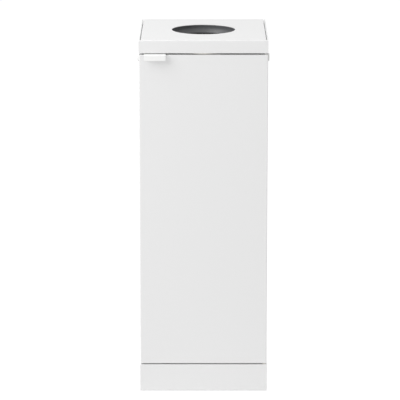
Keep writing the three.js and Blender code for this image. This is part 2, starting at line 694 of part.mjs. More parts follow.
// Bracket: a plate on the back of the bin's rim with two cheeks that hold a ring pin. Over the rim the
// cheeks stand back, clear of the ring as it tips. Its own origin is on the ring's axis.
function ringBracket() {
  const cheekInner = KNUCKLE_LENGTH / 2 + CLEARANCE;
  const cheekOuter = cheekInner + BRACKET_STEEL;
  const rimBack = -KNUCKLE_SETBACK + BRACKET_SEAT;
  const rimTop = -KNUCKLE_HEIGHT - CLEARANCE;
  const bottom = -KNUCKLE_HEIGHT - BRACKET_DROP;
  const edge = KNUCKLE_DIAMETER / 2;
  const cheekOutline = corners(
    [rimBack, bottom],
    [edge, bottom],
    [edge, edge],
    [rimBack + CHEEK_RELIEF, edge],
    [rimBack + CHEEK_RELIEF, rimTop],
    [rimBack, rimTop],
  );
  const places = [[-cheekOuter, -cheekInner], [cheekInner, cheekOuter]];
  const cheeks = places.map((across) => pulledAlongX(cheekOutline, across));
  const plate = block([-cheekOuter, cheekOuter], [rimBack, rimBack + BRACKET_STEEL], [bottom, rimTop]);
  const hole = rodAlongX(RING_PIN_DIAMETER + 2 * CLEARANCE, [-cheekOuter - 1, cheekOuter + 1], 0, 0);
  return cut(join(plate, ...cheeks), hole);
}

function ringPin() {
  const half = KNUCKLE_LENGTH / 2 + CLEARANCE + BRACKET_STEEL;
  return rodAlongX(RING_PIN_DIAMETER, [-half, half], 0, 0);
}

// Foot nut: a plate under the base plate with a threaded sleeve below it.
function footNut() {
  const half = FOOT_PLATE / 2;
  const sleeveBottom = FOOT_PLATE_BOTTOM - FOOT_NUT_LENGTH;
  const body = join(
    block([-half, half], [-half, half], [FOOT_PLATE_BOTTOM, PLINTH_HEIGHT]),
    rod(FOOT_NUT_DIAMETER, [sleeveBottom, PLINTH_HEIGHT - FOOT_PLATE_THICKNESS / 2], 0, 0, HEXAGON),
  );
  const bore = rod(FOOT_STUD_DIAMETER + 2 * CLEARANCE, [sleeveBottom - 1, PLINTH_HEIGHT + 1]);
  return cut(body, bore);
}

function footStud() {
  return rod(FOOT_STUD_DIAMETER, [FOOT_PAD_HEIGHT, FOOT_STUD_TOP]);
}

// Foot pad: a low cone with a flat underside.
function footPad() {
  const radius = FOOT_PAD_DIAMETER / 2;
  const profile = [
    [0, 0],
    [radius, 0],
    [radius, FOOT_PAD_HEIGHT / 3],
    [FOOT_STUD_DIAMETER, FOOT_PAD_HEIGHT],
    [0, FOOT_PAD_HEIGHT],
  ];
  return solid(new THREE.LatheGeometry(corners(...profile), ROUND).rotateX(Math.PI / 2));
}

function makeCarcass() {
  const carcass = new THREE.Group();
  carcass.add(
    named('left_side_panel', sidePanel(-1), white),
    named('right_side_panel', sidePanel(1), white),
    named('back_panel', backPanel(), white),
    named('base_plate', basePlate(), white),
    named('top_cover', topCover(), white),
    named('inlet_collar', inletCollar(), darkPlastic, 0, INLET_Y, HEIGHT),
    named('top_front_rail', topFrontRail(), white),
    named('plinth_front', plinthAcross(-1), white),
    named('plinth_rear', plinthAcross(1), white),
    named('plinth_left', plinthSide(-1), white),
    named('plinth_right', plinthSide(1), white),
    named('magnet_housing', magnetHousing(), nylon, CATCH_X, 0, CATCH_MIDDLE),
    named('catch_magnet', catchMagnet(), magnetGrey, CATCH_X, 0, CATCH_MIDDLE),
    named('lift_stop', liftStop(), nylon, 0, FRONT, LIP_BOTTOM),
    named(
      'hinge_bush_top',
      pivotBush([0, BUSH_LENGTH], [STEEL, 2 * STEEL]),
      nylon,
      HINGE_X,
      HINGE_Y,
      LIP_BOTTOM,
    ),
    named(
      'hinge_pin_bottom',
      pivotPin(PLINTH_STEEL + CLEARANCE + DOOR_BOTTOM_GAP + STEEL + PIN_REACH),
      zinc,
      HINGE_X,
      HINGE_Y,
      PLINTH_HEIGHT - PLINTH_STEEL - CLEARANCE,
    ),
  );
  for (const [name, side] of [['left', -1], ['right', 1]]) {
    const capPlace = [side * HALF, FRONT + CAP_SETBACK, HEIGHT - CAP_DROP];
    const cap = named(`side_cap_${name}`, sideCap(), capGrey, ...capPlace);
    cap.rotation.z = side > 0 ? 0 : Math.PI;
    carcass.add(cap);
    for (const [level, z] of Object.entries(SCREW_HEIGHTS)) {
      const screwX = side * (HALF - SCREW_INSET);
      carcass.add(named(`back_screw_${name}_${level}`, backScrew(), zinc, screwX, BACK, z));
    }
  }
  BUMPER_HEIGHTS.forEach((z, i) => {
    const bumper = rodAlongY(BUMPER_DIAMETER, [CLEARANCE - DOOR_REAR_GAP, 0], 0, 0);
    carcass.add(named(`door_bumper_${i + 1}`, bumper, blackRubber, FLANGE / 2 - HALF, FRAME_FRONT, z));
  });
  return carcass;
}

function makeDoor() {
  const door = new THREE.Group();
  const bushBottom = -DOOR_BOTTOM_GAP + CLEARANCE;
  door.add(
    named('door_panel', doorPanel(), white),
    named('door_stiffener', doorStiffener(), white),
    named('door_handle', doorHandle(), white, TAB_X, FRONT, DOOR_TOP),
    named(
      'keeper_plate',
      block(
        [-KEEPER_WIDTH / 2, KEEPER_WIDTH / 2],
        [0, KEEPER_THICKNESS],
        [-KEEPER_HEIGHT / 2, KEEPER_HEIGHT / 2],
      ),
      zinc,
      CATCH_X,
      DOOR_BACK,
      CATCH_MIDDLE,
    ),
    named(
      'hinge_pin_top',
      pivotPin(CLEARANCE + STEEL + DOOR_TOP_GAP + STEEL + PIN_REACH),
      zinc,
      HINGE_X,
      HINGE_Y,
      DOOR_TOP - STEEL - CLEARANCE,
    ),
    named(
      'hinge_bush_bottom',
      pivotBush([bushBottom, BUSH_LENGTH], [bushBottom, 0]),
      nylon,
      HINGE_X,
      HINGE_Y,
      DOOR_BOTTOM,
    ),
  );
  for (const [name, side] of [['left', -1], ['right', 1]]) {
    const rivetX = TAB_X + side * RIVET_SPACING / 2;
    door.add(named(`handle_rivet_${name}`, handleRivet(), zinc, rivetX, RIVET_Y, DOOR_TOP));
  }
  return door;
}

function makeBin() {
  const bin = new THREE.Group();
  bin.position.set(0, BIN_Y, BIN_TOP);
  bin.add(
    named('inner_bin', innerBin(), galvanised, 0, 0, -BIN_HEIGHT),
    named('bag_ring', bagRing(), zinc),
  );
  for (const [name, side] of [['left', -1], ['right', 1]]) {
    const place = [side * KNUCKLE_X, RING_AXIS_Y - BIN_Y, RING_AXIS_Z - BIN_TOP];
    bin.add(
      named(`ring_bracket_${name}`, ringBracket(), galvanised, ...place),
      named(`ring_pin_${name}`, ringPin(), zinc, ...place),
    );
  }
  return bin;
}

function makeFeet() {
  const feet = new THREE.Group();
  for (const [row, y] of [['front', FRONT + FOOT_SETBACK], ['rear', BACK - FOOT_SETBACK]]) {
    for (const [name, side] of [['left', -1], ['right', 1]]) {
      const foot = new THREE.Group();
      foot.position.set(side * FOOT_X, y, 0);
      foot.add(
        named(`foot_nut_${row}_${name}`, footNut(), zinc),
        named(`foot_stud_${row}_${name}`, footStud(), zinc),
        named(`foot_pad_${row}_${name}`, footPad(), blackPlastic),
      );
      feet.add(foot);
    }
  }
  return feet;
}

const cabinet = new THREE.Group();
cabinet.add(makeCarcass(), makeDoor(), makeBin(), makeFeet());

export default cabinet;
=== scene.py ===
"""Looks of a free-standing waste cabinet of folded, powder-coated sheet steel.

Lengths are in millimetres, +Z is up and the front faces -Y. A shape is a closed surface on a grid: a
stack of rings, each joined to the next, with the first and the last ring closed by a flat face.
"""

from __future__ import annotations

import json
import logging
import math
from collections.abc import Sequence
from dataclasses import dataclass
from enum import Enum, StrEnum

import bpy
import numpy as np
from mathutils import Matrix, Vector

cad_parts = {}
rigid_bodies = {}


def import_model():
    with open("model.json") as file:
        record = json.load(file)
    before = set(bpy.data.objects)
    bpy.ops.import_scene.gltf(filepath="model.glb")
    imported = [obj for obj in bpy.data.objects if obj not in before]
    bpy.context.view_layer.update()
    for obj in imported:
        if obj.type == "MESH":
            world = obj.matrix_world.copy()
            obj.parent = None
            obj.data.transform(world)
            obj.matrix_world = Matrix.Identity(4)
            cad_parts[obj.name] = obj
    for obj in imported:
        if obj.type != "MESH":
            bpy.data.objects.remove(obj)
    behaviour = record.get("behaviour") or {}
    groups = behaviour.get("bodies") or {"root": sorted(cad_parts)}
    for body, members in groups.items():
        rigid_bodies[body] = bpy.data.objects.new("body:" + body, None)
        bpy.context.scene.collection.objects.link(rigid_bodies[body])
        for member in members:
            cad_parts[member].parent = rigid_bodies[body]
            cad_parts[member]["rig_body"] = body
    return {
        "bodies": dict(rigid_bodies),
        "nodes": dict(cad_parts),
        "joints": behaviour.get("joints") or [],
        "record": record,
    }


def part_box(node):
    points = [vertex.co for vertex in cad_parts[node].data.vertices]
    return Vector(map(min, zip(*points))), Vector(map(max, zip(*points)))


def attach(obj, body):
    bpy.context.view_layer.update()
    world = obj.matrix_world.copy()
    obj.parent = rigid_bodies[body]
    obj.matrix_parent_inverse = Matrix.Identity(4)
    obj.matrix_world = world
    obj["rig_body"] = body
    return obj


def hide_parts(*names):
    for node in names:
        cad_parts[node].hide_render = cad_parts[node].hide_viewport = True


LOG = logging.getLogger("cabinet")
MM = 0.001
CUT = 5.0  # how far a drill reaches to either side of the sheet that it goes through
SLACK = 0.1  # room for rounding where points on the flat beyond a bend are looked for
SHARP = math.radians(40)  # an edge that turns by more than this is a cut edge, not a bend

Array = np.ndarray
Point = Sequence[float] | Array
Points = Sequence[Point] | Array
Tree = bpy.types.NodeTree
Socket = bpy.types.NodeSocket
Inputs = dict[str | int, object]

QUARTERS = np.array([(1, 1), (-1, 1), (-1, -1), (1, -1)])  # signs of a rectangle's corners, anticlockwise


# --- Shapes ---


class Axis(Enum):
    """The direction that a flat drawing is carried along, or that a turned shape stands on."""

    X = 0
    Y = 1
    Z = 2

    def lift(self, drawing: Array, along: Array | float) -> Array:
        """Puts a drawing's two coordinates and a distance along the axis into space.

        Args:
            drawing: points (..., 2): (y, z) for X, (x, z) for Y and (x, y) for Z.
            along: their places along the axis, of a shape that broadcasts to drawing's.

        Returns:
            Points (..., 3).
        """
        order = [drawing[..., 0], drawing[..., 1]]
        order.insert(self.value, np.broadcast_to(along, order[0].shape))
        return np.stack(order, axis=-1)


@dataclass(frozen=True)
class Surface:
    """A closed surface: its points, and groups of faces that each have one number of corners."""

    points: Array
    faces: tuple[Array, ...]

    def volume(self) -> float:
        """Sum over each face's fan of triangles of a . (b x c) / 6, above zero if the faces look out.

        Returns:
            The volume in cubic millimetres.
        """
        total = 0.0
        for group in self.faces:
            a, b, c = (self.points[part] for part in (group[:, :1], group[:, 1:-1], group[:, 2:]))
            total += float((a * np.cross(b, c)).sum()) / 6
        return total

    def facing_out(self) -> Surface:
        """The same surface with its faces turned to look outwards."""
        other_way = Surface(self.points, tuple(group[:, ::-1] for group in self.faces))
        return self if self.volume() > 0 else other_way

    def moved(self, x: float = 0.0, y: float = 0.0, z: float = 0.0) -> Surface:
        """The same surface, shifted."""
        return Surface(self.points + np.array([x, y, z]), self.faces)

    def mirrored(self, mirror: bool = True) -> Surface:
        """The same surface with x reversed, or as it is if mirror is False."""
        flipped = Surface(self.points * np.array([-1.0, 1.0, 1.0]), self.faces)
        return flipped.facing_out() if mirror else self


def skin(rings: Array, joined: bool = False) -> Surface:
    """Closed surface over a stack of rings.

    Point (i, j) is point j of ring i, and each quad is (i, j), (i, j + 1), (i + 1, j + 1), (i + 1, j).

    Args:
        rings: points (rings, points of a ring, 3); each ring closes on itself.
        joined: whether the last ring joins the first, instead of both being closed by a flat face.

    Returns:
        The surface, with its faces looking out.
    """
    index = np.arange(rings.shape[0] * rings.shape[1]).reshape(rings.shape[:2])
    following = np.roll(index, -1, axis=0)
    lower, upper = (index, following) if joined else (index[:-1], following[:-1])
    corners = [lower, np.roll(lower, -1, axis=1), np.roll(upper, -1, axis=1), upper]
    quads = np.stack(corners, axis=-1).reshape(-1, 4)
    faces = (quads,) if joined else (quads, index[:1, ::-1], index[-1:])
    return Surface(rings.reshape(-1, 3), faces).facing_out()


def arc(middle: Point, radius: float | Point, start: float, end: float, steps: int = 8) -> Array:
    """Points middle + radius (cos a, sin a), a from start to end in degrees; two radii give an ellipse."""
    angle = np.radians(np.linspace(start, end, steps + 1))
    return np.asarray(middle) + np.asarray(radius) * np.stack([np.cos(angle), np.sin(angle)], axis=-1)


def circle(steps: int) -> Array:
    """Points (cos a, sin a) all the way round."""
    angle = np.linspace(0, 2 * np.pi, steps, endpoint=False)
    return np.stack([np.cos(angle), np.sin(angle)], axis=-1)


def rounded(corners: Points, radii: float | Sequence[float], steps: int = 6) -> Array:
    """Outline with round corners, closed, or open between a first and a last corner of radius 0.

    At a corner that turns by t, an arc of radius r leaves the outline r tan(t / 2) before the corner
    and joins it as far behind. A radius of 0 keeps the corner.

    Args:
        corners: the corners, in order along the outline.
        radii: one radius, or one for each corner.
        steps: flats to an arc.

    Returns:
        Points (n, 2).
    """
    points = np.asarray(corners, dtype=float)
    sizes = np.broadcast_to(np.asarray(radii, dtype=float), len(points))
    ahead = np.roll(points, -1, axis=0) - points
    ahead /= np.linalg.norm(ahead, axis=1, keepdims=True)
    behind = np.roll(ahead, 1, axis=0)
    turn = np.arctan2(behind[:, 0] * ahead[:, 1] - behind[:, 1] * ahead[:, 0], (behind * ahead).sum(axis=1))
    outline = []
    for corner, radius, way, bend in zip(points, sizes, behind, turn):
        if radius == 0:
            outline.append(corner[None])
            continue
        left = np.array([-way[1], way[0]]) * np.sign(bend)
        middle = corner - way * radius * math.tan(abs(bend) / 2) + left * radius
        start = math.degrees(math.atan2(-left[1], -left[0]))
        outline.append(arc(middle, radius, start, start + math.degrees(bend), steps))
    return np.vstack(outline)


def rectangle(low: Point, high: Point, radius: float = 0.0) -> Array:
    """Outline of a rectangle from its lowest to its highest corner, with round corners."""
    return rounded([low, (high[0], low[1]), high, (low[0], high[1])], radius)


def pulled(outline: Array, axis: Axis, start: float, end: float) -> Surface:
    """An outline pulled out along an axis: two rings, one at each end."""
    return skin(np.stack([axis.lift(outline, start), axis.lift(outline, end)]))


def block(low: Point, high: Point, axis: Axis = Axis.Z, radius: float = 0.0) -> Surface:
    """A block from its lowest to its highest corner, with the edges that run along the axis rounded."""
    bottom, top = (np.delete(corner, axis.value) for corner in (low, high))
    return pulled(rectangle(bottom, top, radius), axis, low[axis.value], high[axis.value])


def turned(
    profile: Points, place: Point, axis: Axis = Axis.Z, steps: int = 48, joined: bool = False
) -> Surface:
    """A shape turned on a lathe: ring i is the circle of radius r at height h, for row i = (r, h).

    Args:
        profile: rows of radius and height, from one end to the other, or round a closed section.
        place: where radius 0, height 0 lies.
        axis: the lathe's axis.
        steps: flats round a circle.
        joined: whether profile is a closed section, as of a tube.

    Returns:
        The surface.
    """
    rows = np.asarray(profile, dtype=float)
    return skin(axis.lift(rows[:, :1, None] * circle(steps), rows[:, 1:]), joined).moved(*place)


def bar(diameter: float, place: Point, axis: Axis = Axis.Z, reach: float = CUT, steps: int = 48) -> Surface:
    """A round bar that reaches as far to both sides of a place, as a body or to cut a hole with."""
    return turned([(diameter / 2, -reach), (diameter / 2, reach)], place, axis, steps)


@dataclass(frozen=True)
class Fold:
    """Middle line of a folded sheet, drawn flat, and the unit vector across the sheet at each point."""

    line: Array
    across: Array
    steel: float

    def faces(self) -> tuple[Array, Array]:
        """The face that the fold's corners lie on, drawn flat, and the sheet's other face."""
        half = self.across * self.steel / 2
        return self.line - half, self.line + half

    def strip(self, axis: Axis, start: Array | float, end: Array | float) -> Surface:
        """The folded sheet: ring i is the sheet's section at point i of the line, from start to end.

        Args:
            axis: the direction of the fold lines.
            start: where the sheet begins along them, one for all or one for each point.
            end: where it ends.

        Returns:
            The surface.
        """
        outer, inner = self.faces()
        starts, ends = (np.broadcast_to(value, len(self.line)) for value in (start, end))
        round_it = [(outer, starts), (outer, ends), (inner, ends), (inner, starts)]
        return skin(np.stack([axis.lift(face, along) for face, along in round_it], axis=1))


def fold(corners: Points, steel: float, radii: float | Sequence[float], steps: int = 8) -> Fold:
    """Folds a sheet along a line of corners.

    The corners lie on one face and the sheet lies to the left of the way along them. A corner between
    the left-hand vectors m and n is moved by steel / 2 (m + n) / (1 + m . n) to the sheet's middle, and
    a bend there is an arc whose radius is the inner one and half the steel.

    Args:
        corners: the corners of that face.
        steel: thickness of the sheet.
        radii: inner radius of the bends, one for all or one for each.
        steps: flats to a bend.

    Returns:
        The fold.
    """
    points = np.asarray(corners, dtype=float)
    way = np.diff(points, axis=0)
    way /= np.linalg.norm(way, axis=1, keepdims=True)
    left = np.stack([-way[:, 1], way[:, 0]], axis=1)
    before, after = left[:-1], left[1:]
    share = 1 + (before * after).sum(axis=1, keepdims=True)
    middle = points[1:-1] + (before + after) / share * steel / 2
    turn = np.arctan2(before[:, 0] * after[:, 1] - before[:, 1] * after[:, 0], share[:, 0] - 1)
    radius = np.broadcast_to(np.asarray(radii, dtype=float), len(middle)) + steel / 2
    side = np.sign(turn)[:, None]
    reach = (radius * np.tan(np.abs(turn) / 2))[:, None]
    centre = middle - way[:-1] * reach + side * before * radius[:, None]
    angle = turn[:, None] * np.linspace(0, 1, steps + 1)
    cosine, sine = np.cos(angle)[..., None], np.sin(angle)[..., None]
    square = np.stack([-before[:, 1], before[:, 0]], axis=1)
    across = before[:, None] * cosine + square[:, None] * sine
    bends = centre[:, None] - side[:, None] * radius[:, None, None] * across
    first = points[:1] + left[:1] * steel / 2
    last = points[-1:] + left[-1:] * steel / 2
    line = np.vstack([first, bends.reshape(-1, 2), last])
    return Fold(line, np.vstack([left[:1], across.reshape(-1, 2), left[-1:]]), steel)


def hoop(half: Array, radius: float, section: Array, scale: Array | float = 1.0, steps: int = 8) -> Array:
    """Rings that carry a profile round a rectangle with round corners.

    A row (o, z) of the section becomes the rectangle pushed out by o, at height z, then scaled:
    (corner centre + (radius + o) (cos a, sin a)) times scale, for a round each corner in turn.

    Args:
        half: half the rectangle's width and depth.
        radius: radius of its corners.
        section: rows of offset and height.
        scale: share of the size, one for all or one for each row.
        steps: flats to a corner.

    Returns:
        Points (rows, points round the rectangle, 3).
    """
    angle = np.radians(np.arange(4)[:, None] * 90 + np.linspace(0, 90, steps + 1))
    centres = np.repeat(QUARTERS * (np.asarray(half) - radius), steps + 1, axis=0)
    round_it = np.stack([np.cos(angle), np.sin(angle)], axis=-1).reshape(-1, 2)
    rings = centres + (radius + section[:, :1, None]) * round_it
    scaled = rings * np.broadcast_to(scale, len(section))[:, None, None]
    return Axis.Z.lift(scaled, section[:, 1:])


def smooth_step(share: Array) -> Array:
    """3 s^2 - 2 s^3 for s held between 0 and 1."""
    held = np.clip(share, 0, 1)
    return held * held * (3 - 2 * held)


# --- Materials ---


def linear(colour: str) -> tuple[float, float, float, float]:
    """Turns an sRGB colour into linear light.

    Args:
        colour: six hex digits.

    Returns:
        Red, green and blue, and an alpha of 1.
    """
    shares = np.array([int(colour[i : i + 2], 16) for i in (0, 2, 4)]) / 255
    light = np.where(shares <= 0.04045, shares / 12.92, ((shares + 0.055) / 1.055) ** 2.4)
    red, green, blue = light.tolist()
    return red, green, blue, 1.0


def add_node(tree: Tree, kind: str, inputs: Inputs | None = None, **settings: object) -> bpy.types.Node:
    """Adds a node to a tree.

    Args:
        tree: the node tree.
        kind: the node's type.
        inputs: a value, or another node's output to link, for each input that isn't left alone.
        settings: the node's own properties.

    Returns:
        The node.
    """
    node = tree.nodes.new(kind)
    for name, value in settings.items():
        setattr(node, name, value)
    for name, value in (inputs or {}).items():
        if isinstance(value, Socket):
            tree.links.new(value, node.inputs[name])
        else:
            node.inputs[name].default_value = value
    return node


def empty_tree(owner: bpy.types.Material | bpy.types.World) -> Tree:
    """Turns on the nodes of a material or a world.

    Args:
        owner: the material or world.

    Returns:
        Its node tree, with nothing in it.
    """
    owner.use_nodes = True
    owner.node_tree.nodes.clear()
    return owner.node_tree


@dataclass(frozen=True)
class Lumps:
    """Noise in a finish: how far its lumps are apart, its octaves of finer noise, and its height."""

    size: float
    detail: float = 2.0
    height: float = 0.0


@dataclass(frozen=True)
class Finish:
    """A surface finish: two colours and a roughness that follow one pattern, and others that stand up.

    Noise keeps mostly to its middle range, which the colours and the roughness are stretched over.
    """

    name: str
    slot: str
    colour: str
    second_colour: str
    roughness: float
    roughness_spread: float
    metallic: float = 0.0
    clouds: Lumps = Lumps(15.0, 3.0)
    reliefs: tuple[Lumps, ...] = ()
    middle_range: tuple[float, float] = (0.3, 0.7)

    def patterns(self, tree: Tree, place: Socket) -> list[Socket]:
        """The finish's patterns: clouds of noise, and a noise for each relief.

        Args:
            tree: the material's nodes.
            place: Object coordinates.

        Returns:
            The pattern of the colours, and then the reliefs' patterns from the lowest one up.
        """
        noises = []
        for lumps in (self.clouds, *self.reliefs):
            inputs = {"Vector": place, "Scale": 1 / (lumps.size * MM), "Detail": lumps.detail}
            noises.append(add_node(tree, "ShaderNodeTexNoise", inputs).outputs["Fac"])
        return noises

    def material(self) -> bpy.types.Material:
        """The finish's material, made once and shared by its pieces.

        Returns:
            The material.
        """
        found = bpy.data.materials.get(self.name)
        if found:
            return found
        material = bpy.data.materials.new(self.name)
        tree = empty_tree(material)
        low, high = self.middle_range
        tint, *raised = self.patterns(tree, add_node(tree, "ShaderNodeTexCoord").outputs["Object"])
        mixer = add_node(tree, "ShaderNodeValToRGB", {"Fac": tint})
        first, last = mixer.color_ramp.elements
        first.position, last.position = low, high
        first.color, last.color = linear(self.colour), linear(self.second_colour)
        inputs = {"Value": tint, "From Min": low, "From Max": high}
        inputs["To Min"] = self.roughness - self.roughness_spread
        inputs["To Max"] = self.roughness + self.roughness_spread
        rough = add_node(tree, "ShaderNodeMapRange", inputs).outputs["Result"]
        shading = {"Metallic": self.metallic, "Base Color": mixer.outputs["Color"], "Roughness": rough}
        below = {}
        for pattern, lumps in zip(raised, self.reliefs):
            inputs = {"Height": pattern, "Distance": lumps.height * MM, "Strength": 1.0, **below}
            below = {"Normal": add_node(tree, "ShaderNodeBump", inputs).outputs["Normal"]}
        shader = add_node(tree, "ShaderNodeBsdfPrincipled", {**shading, **below})
        add_node(tree, "ShaderNodeOutputMaterial", {"Surface": shader.outputs["BSDF"]})
        return material


@dataclass(frozen=True)
class PowderCoat(Finish):
    """Polyester powder, sprayed dry and baked: a semi-gloss film with orange peel over a rolled sheet.

    The film's thickness changes in broad clouds and the rolled sheet has slow waves. The peel's real
    lumps are 1 to 2 mm apart; they are drawn at 3 mm, so that a highlight shows them.
    """

    clouds: Lumps = Lumps(40.0, 4.0)
    reliefs: tuple[Lumps, ...] = (Lumps(70.0, height=0.12), Lumps(3.0, height=0.012))


@dataclass(frozen=True)
class ZincPlate(Finish):
    """Bright zinc, plated on turned or stamped steel: a metal with a faint blue and yellow bloom.

    The bloom lies in clouds of a few millimetres. Fine grain of the tool shows through the thin plate,
    drawn at half a millimetre.
    """

    clouds: Lumps = Lumps(6.0, 3.0)
    reliefs: tuple[Lumps, ...] = (Lumps(0.5, 3.0, 0.004),)


@dataclass(frozen=True)
class Galvanised(Finish):
    """Hot-dip galvanised sheet: zinc that froze in crystals, each with its own shade of grey.

    The crystals are 11 mm apart, and their edges wander with a noise of 1.2 mm.
    """

    clouds: Lumps = Lumps(1.2)
    reliefs: tuple[Lumps, ...] = (Lumps(11.0, height=0.006),)

    def patterns(self, tree: Tree, place: Socket) -> list[Socket]:
        """One shade to a crystal of the place moved by the noise, and the distance from its middle.

        Args:
            tree: the material's nodes.
            place: Object coordinates.

        Returns:
            The shade and the distance.
        """
        wander, crystal = self.clouds.size * MM, self.reliefs[0].size * MM
        noise = add_node(tree, "ShaderNodeTexNoise", {"Vector": place, "Scale": 1 / wander})
        inputs = {0: noise.outputs["Color"], "Scale": wander}
        shift = add_node(tree, "ShaderNodeVectorMath", inputs, operation="SCALE").outputs["Vector"]
        moved = add_node(tree, "ShaderNodeVectorMath", {0: place, 1: shift}).outputs["Vector"]
        crystals = add_node(tree, "ShaderNodeTexVoronoi", {"Vector": moved, "Scale": 1 / crystal})
        parted = add_node(tree, "ShaderNodeSeparateColor", {"Color": crystals.outputs["Color"]})
        inputs = {"Value": parted.outputs["Red"]}
        inputs["To Min"], inputs["To Max"] = self.middle_range
        shade = add_node(tree, "ShaderNodeMapRange", inputs).outputs["Result"]
        return [shade, crystals.outputs["Distance"]]


@dataclass(frozen=True)
class Moulded(Finish):
    """Plastic, rubber or pressed ferrite from a mould: one colour, with the mould's fine grain.

    Its gloss changes in slow clouds. The grain of an eroded mould is about 0.2 mm; it is drawn at 0.8 mm,
    and that of ferrite at 0.4 mm, so that it shows.
    """

    reliefs: tuple[Lumps, ...] = (Lumps(0.8, 3.0, 0.02),)


WHITE_COAT = PowderCoat("white_powder_coat", "white_powder_coat", "ECECEB", "E9E9E9", 0.40, 0.03)
# The pull tab's coat is a lighter copy of the white coat: painted light that makes the tab show brighter
# than the door.
TAB_COAT_PAINTED_LIGHT = PowderCoat("tab_coat_painted_light", "white_powder_coat", "F3F3F2", "F1F1F1", 0.36, 0.03)
ZINC = ZincPlate("bright_zinc_plate", "zinc_plated_steel", "C9CCD0", "CFCDC4", 0.30, 0.06, 1.0)
GALVANISED = Galvanised("galvanised_sheet", "galvanised_steel", "C4C9CD", "ABB1B5", 0.42, 0.08, 1.0)
GREY_MOULDING = Moulded("dark_grey_moulding", "grey_moulding", "606163", "5A5B5D", 0.42, 0.04)
NYLON = Moulded("natural_nylon", "natural_nylon", "E6E3DA", "DFDCD2", 0.45, 0.05)
FERRITE = Moulded(
    "ground_ferrite", "ferrite", "3C3C3F", "323235", 0.55, 0.06, reliefs=(Lumps(0.4, 3.0, 0.02),)
)
CAP_PLASTIC = Moulded("light_cap_plastic", "light_cap", "E9E9E8", "E6E6E5", 0.38, 0.03)
RUBBER = Moulded("black_rubber", "rubber", "242424", "1D1D1D", 0.78, 0.05)
BLACK_PLASTIC = Moulded("black_moulding", "black_moulding", "2C2C2D", "262627", 0.48, 0.05)


# --- Pieces ---


@dataclass(frozen=True)
class Box:
    """Lowest and highest corner of a node of the frame, in millimetres."""

    low: Array
    high: Array

    @classmethod
    def of(cls, node: str) -> Box:
        """The box of a node."""
        low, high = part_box(node)
        return cls(np.array(low) / MM, np.array(high) / MM)

    @property
    def middle(self) -> Array:
        """The box's middle."""
        return (self.low + self.high) / 2

    @property
    def size(self) -> Array:
        """The box's width, depth and height."""
        return self.high - self.low

    @property
    def reach(self) -> float:
        """How far from the cabinet's middle plane the box reaches, to whichever side."""
        return max(self.high[0], -self.low[0])

    def at(self, height: float = 0.0) -> tuple[float, float, float]:
        """The point at a height on the box's upright middle line."""
        return self.middle[0], self.middle[1], height


@dataclass
class Workshop:
    """Turns surfaces into finished pieces that stand for the frame's nodes and ride on its bodies."""

    frame: dict

    def scratch(self, surface: Surface) -> bpy.types.Object:
        """A plain object with a surface's mesh, in metres.

        Args:
            surface: the surface.

        Returns:
            The object, linked to the scene.
        """
        mesh = bpy.data.meshes.new("scratch")
        faces = [face for group in surface.faces for face in group.tolist()]
        mesh.from_pydata((surface.points * MM).tolist(), [], faces)
        mesh.validate()
        thing = bpy.data.objects.new("scratch", mesh)
        bpy.context.scene.collection.objects.link(thing)
        return thing

    def worked(
        self, surface: Surface, joined: Sequence[Surface], drilled: Sequence[Surface]
    ) -> bpy.types.Object:
        """A surface with others joined to it, and then others cut from it.

        Args:
            surface: the first body.
            joined: bodies that become one with it.
            drilled: bodies whose room is cut away.

        Returns:
            An object with the finished mesh and no modifiers.
        """
        thing = self.scratch(surface)
        tools = [(tool, "UNION") for tool in joined] + [(tool, "DIFFERENCE") for tool in drilled]
        helpers = [self.scratch(tool) for tool, _ in tools]
        for helper, (_, operation) in zip(helpers, tools):
            modifier = thing.modifiers.new("work", "BOOLEAN")
            modifier.solver = "MANIFOLD"
            modifier.operation = operation
            modifier.object = helper
        if tools:
            graph = bpy.context.evaluated_depsgraph_get()
            rough = thing.data
            thing.data = bpy.data.meshes.new_from_object(thing.evaluated_get(graph))
            thing.modifiers.clear()
            bpy.data.meshes.remove(rough)
        for helper in helpers:
            spare = helper.data
            bpy.data.objects.remove(helper)
            bpy.data.meshes.remove(spare)
        return thing

    def make(
        self,
        node: str,
        surface: Surface,
        finish: Finish,
        edge: float = 0.25,
        joined: Sequence[Surface] = (),
        drilled: Sequence[Surface] = (),
    ) -> None:
        """Makes the piece that stands for a node.

        Args:
            node: the frame's node.
            surface: the piece's body.
            finish: what it is finished with.
            edge: radius that its cut edges are broken to, 0 for none.
            joined: bodies that become one with it.
            drilled: bodies whose room is cut away.
        """
        piece = self.worked(surface, joined, drilled)
        piece.name = f"{node}_fine"
        piece.data.name = piece.name
        piece.data.materials.clear()
        piece.data.materials.append(finish.material())
        piece.data.shade_smooth()
        piece.data.set_sharp_from_angle(angle=SHARP)
        if edge:
            bevel = piece.modifiers.new("broken_edge", "BEVEL")
            bevel.width, bevel.segments = edge * MM, 2
            bevel.limit_method, bevel.angle_limit = "ANGLE", SHARP
            bevel.harden_normals = True
        piece.modifiers.new("flat_faces", "WEIGHTED_NORMAL").keep_sharp = True
        body = self.frame["nodes"][node]["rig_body"]
        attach(piece, body)
        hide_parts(node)
        LOG.info("%s on %s, %s", piece.name, body, finish.name)


class Side(StrEnum):
    """Left or right, seen from the front."""

    LEFT = "left"
    RIGHT = "right"

    def of(self, surface: Surface) -> Surface:
        """A surface drawn for the right, put on this side."""
        return surface.mirrored(self is Side.LEFT)


# --- The cabinet ---


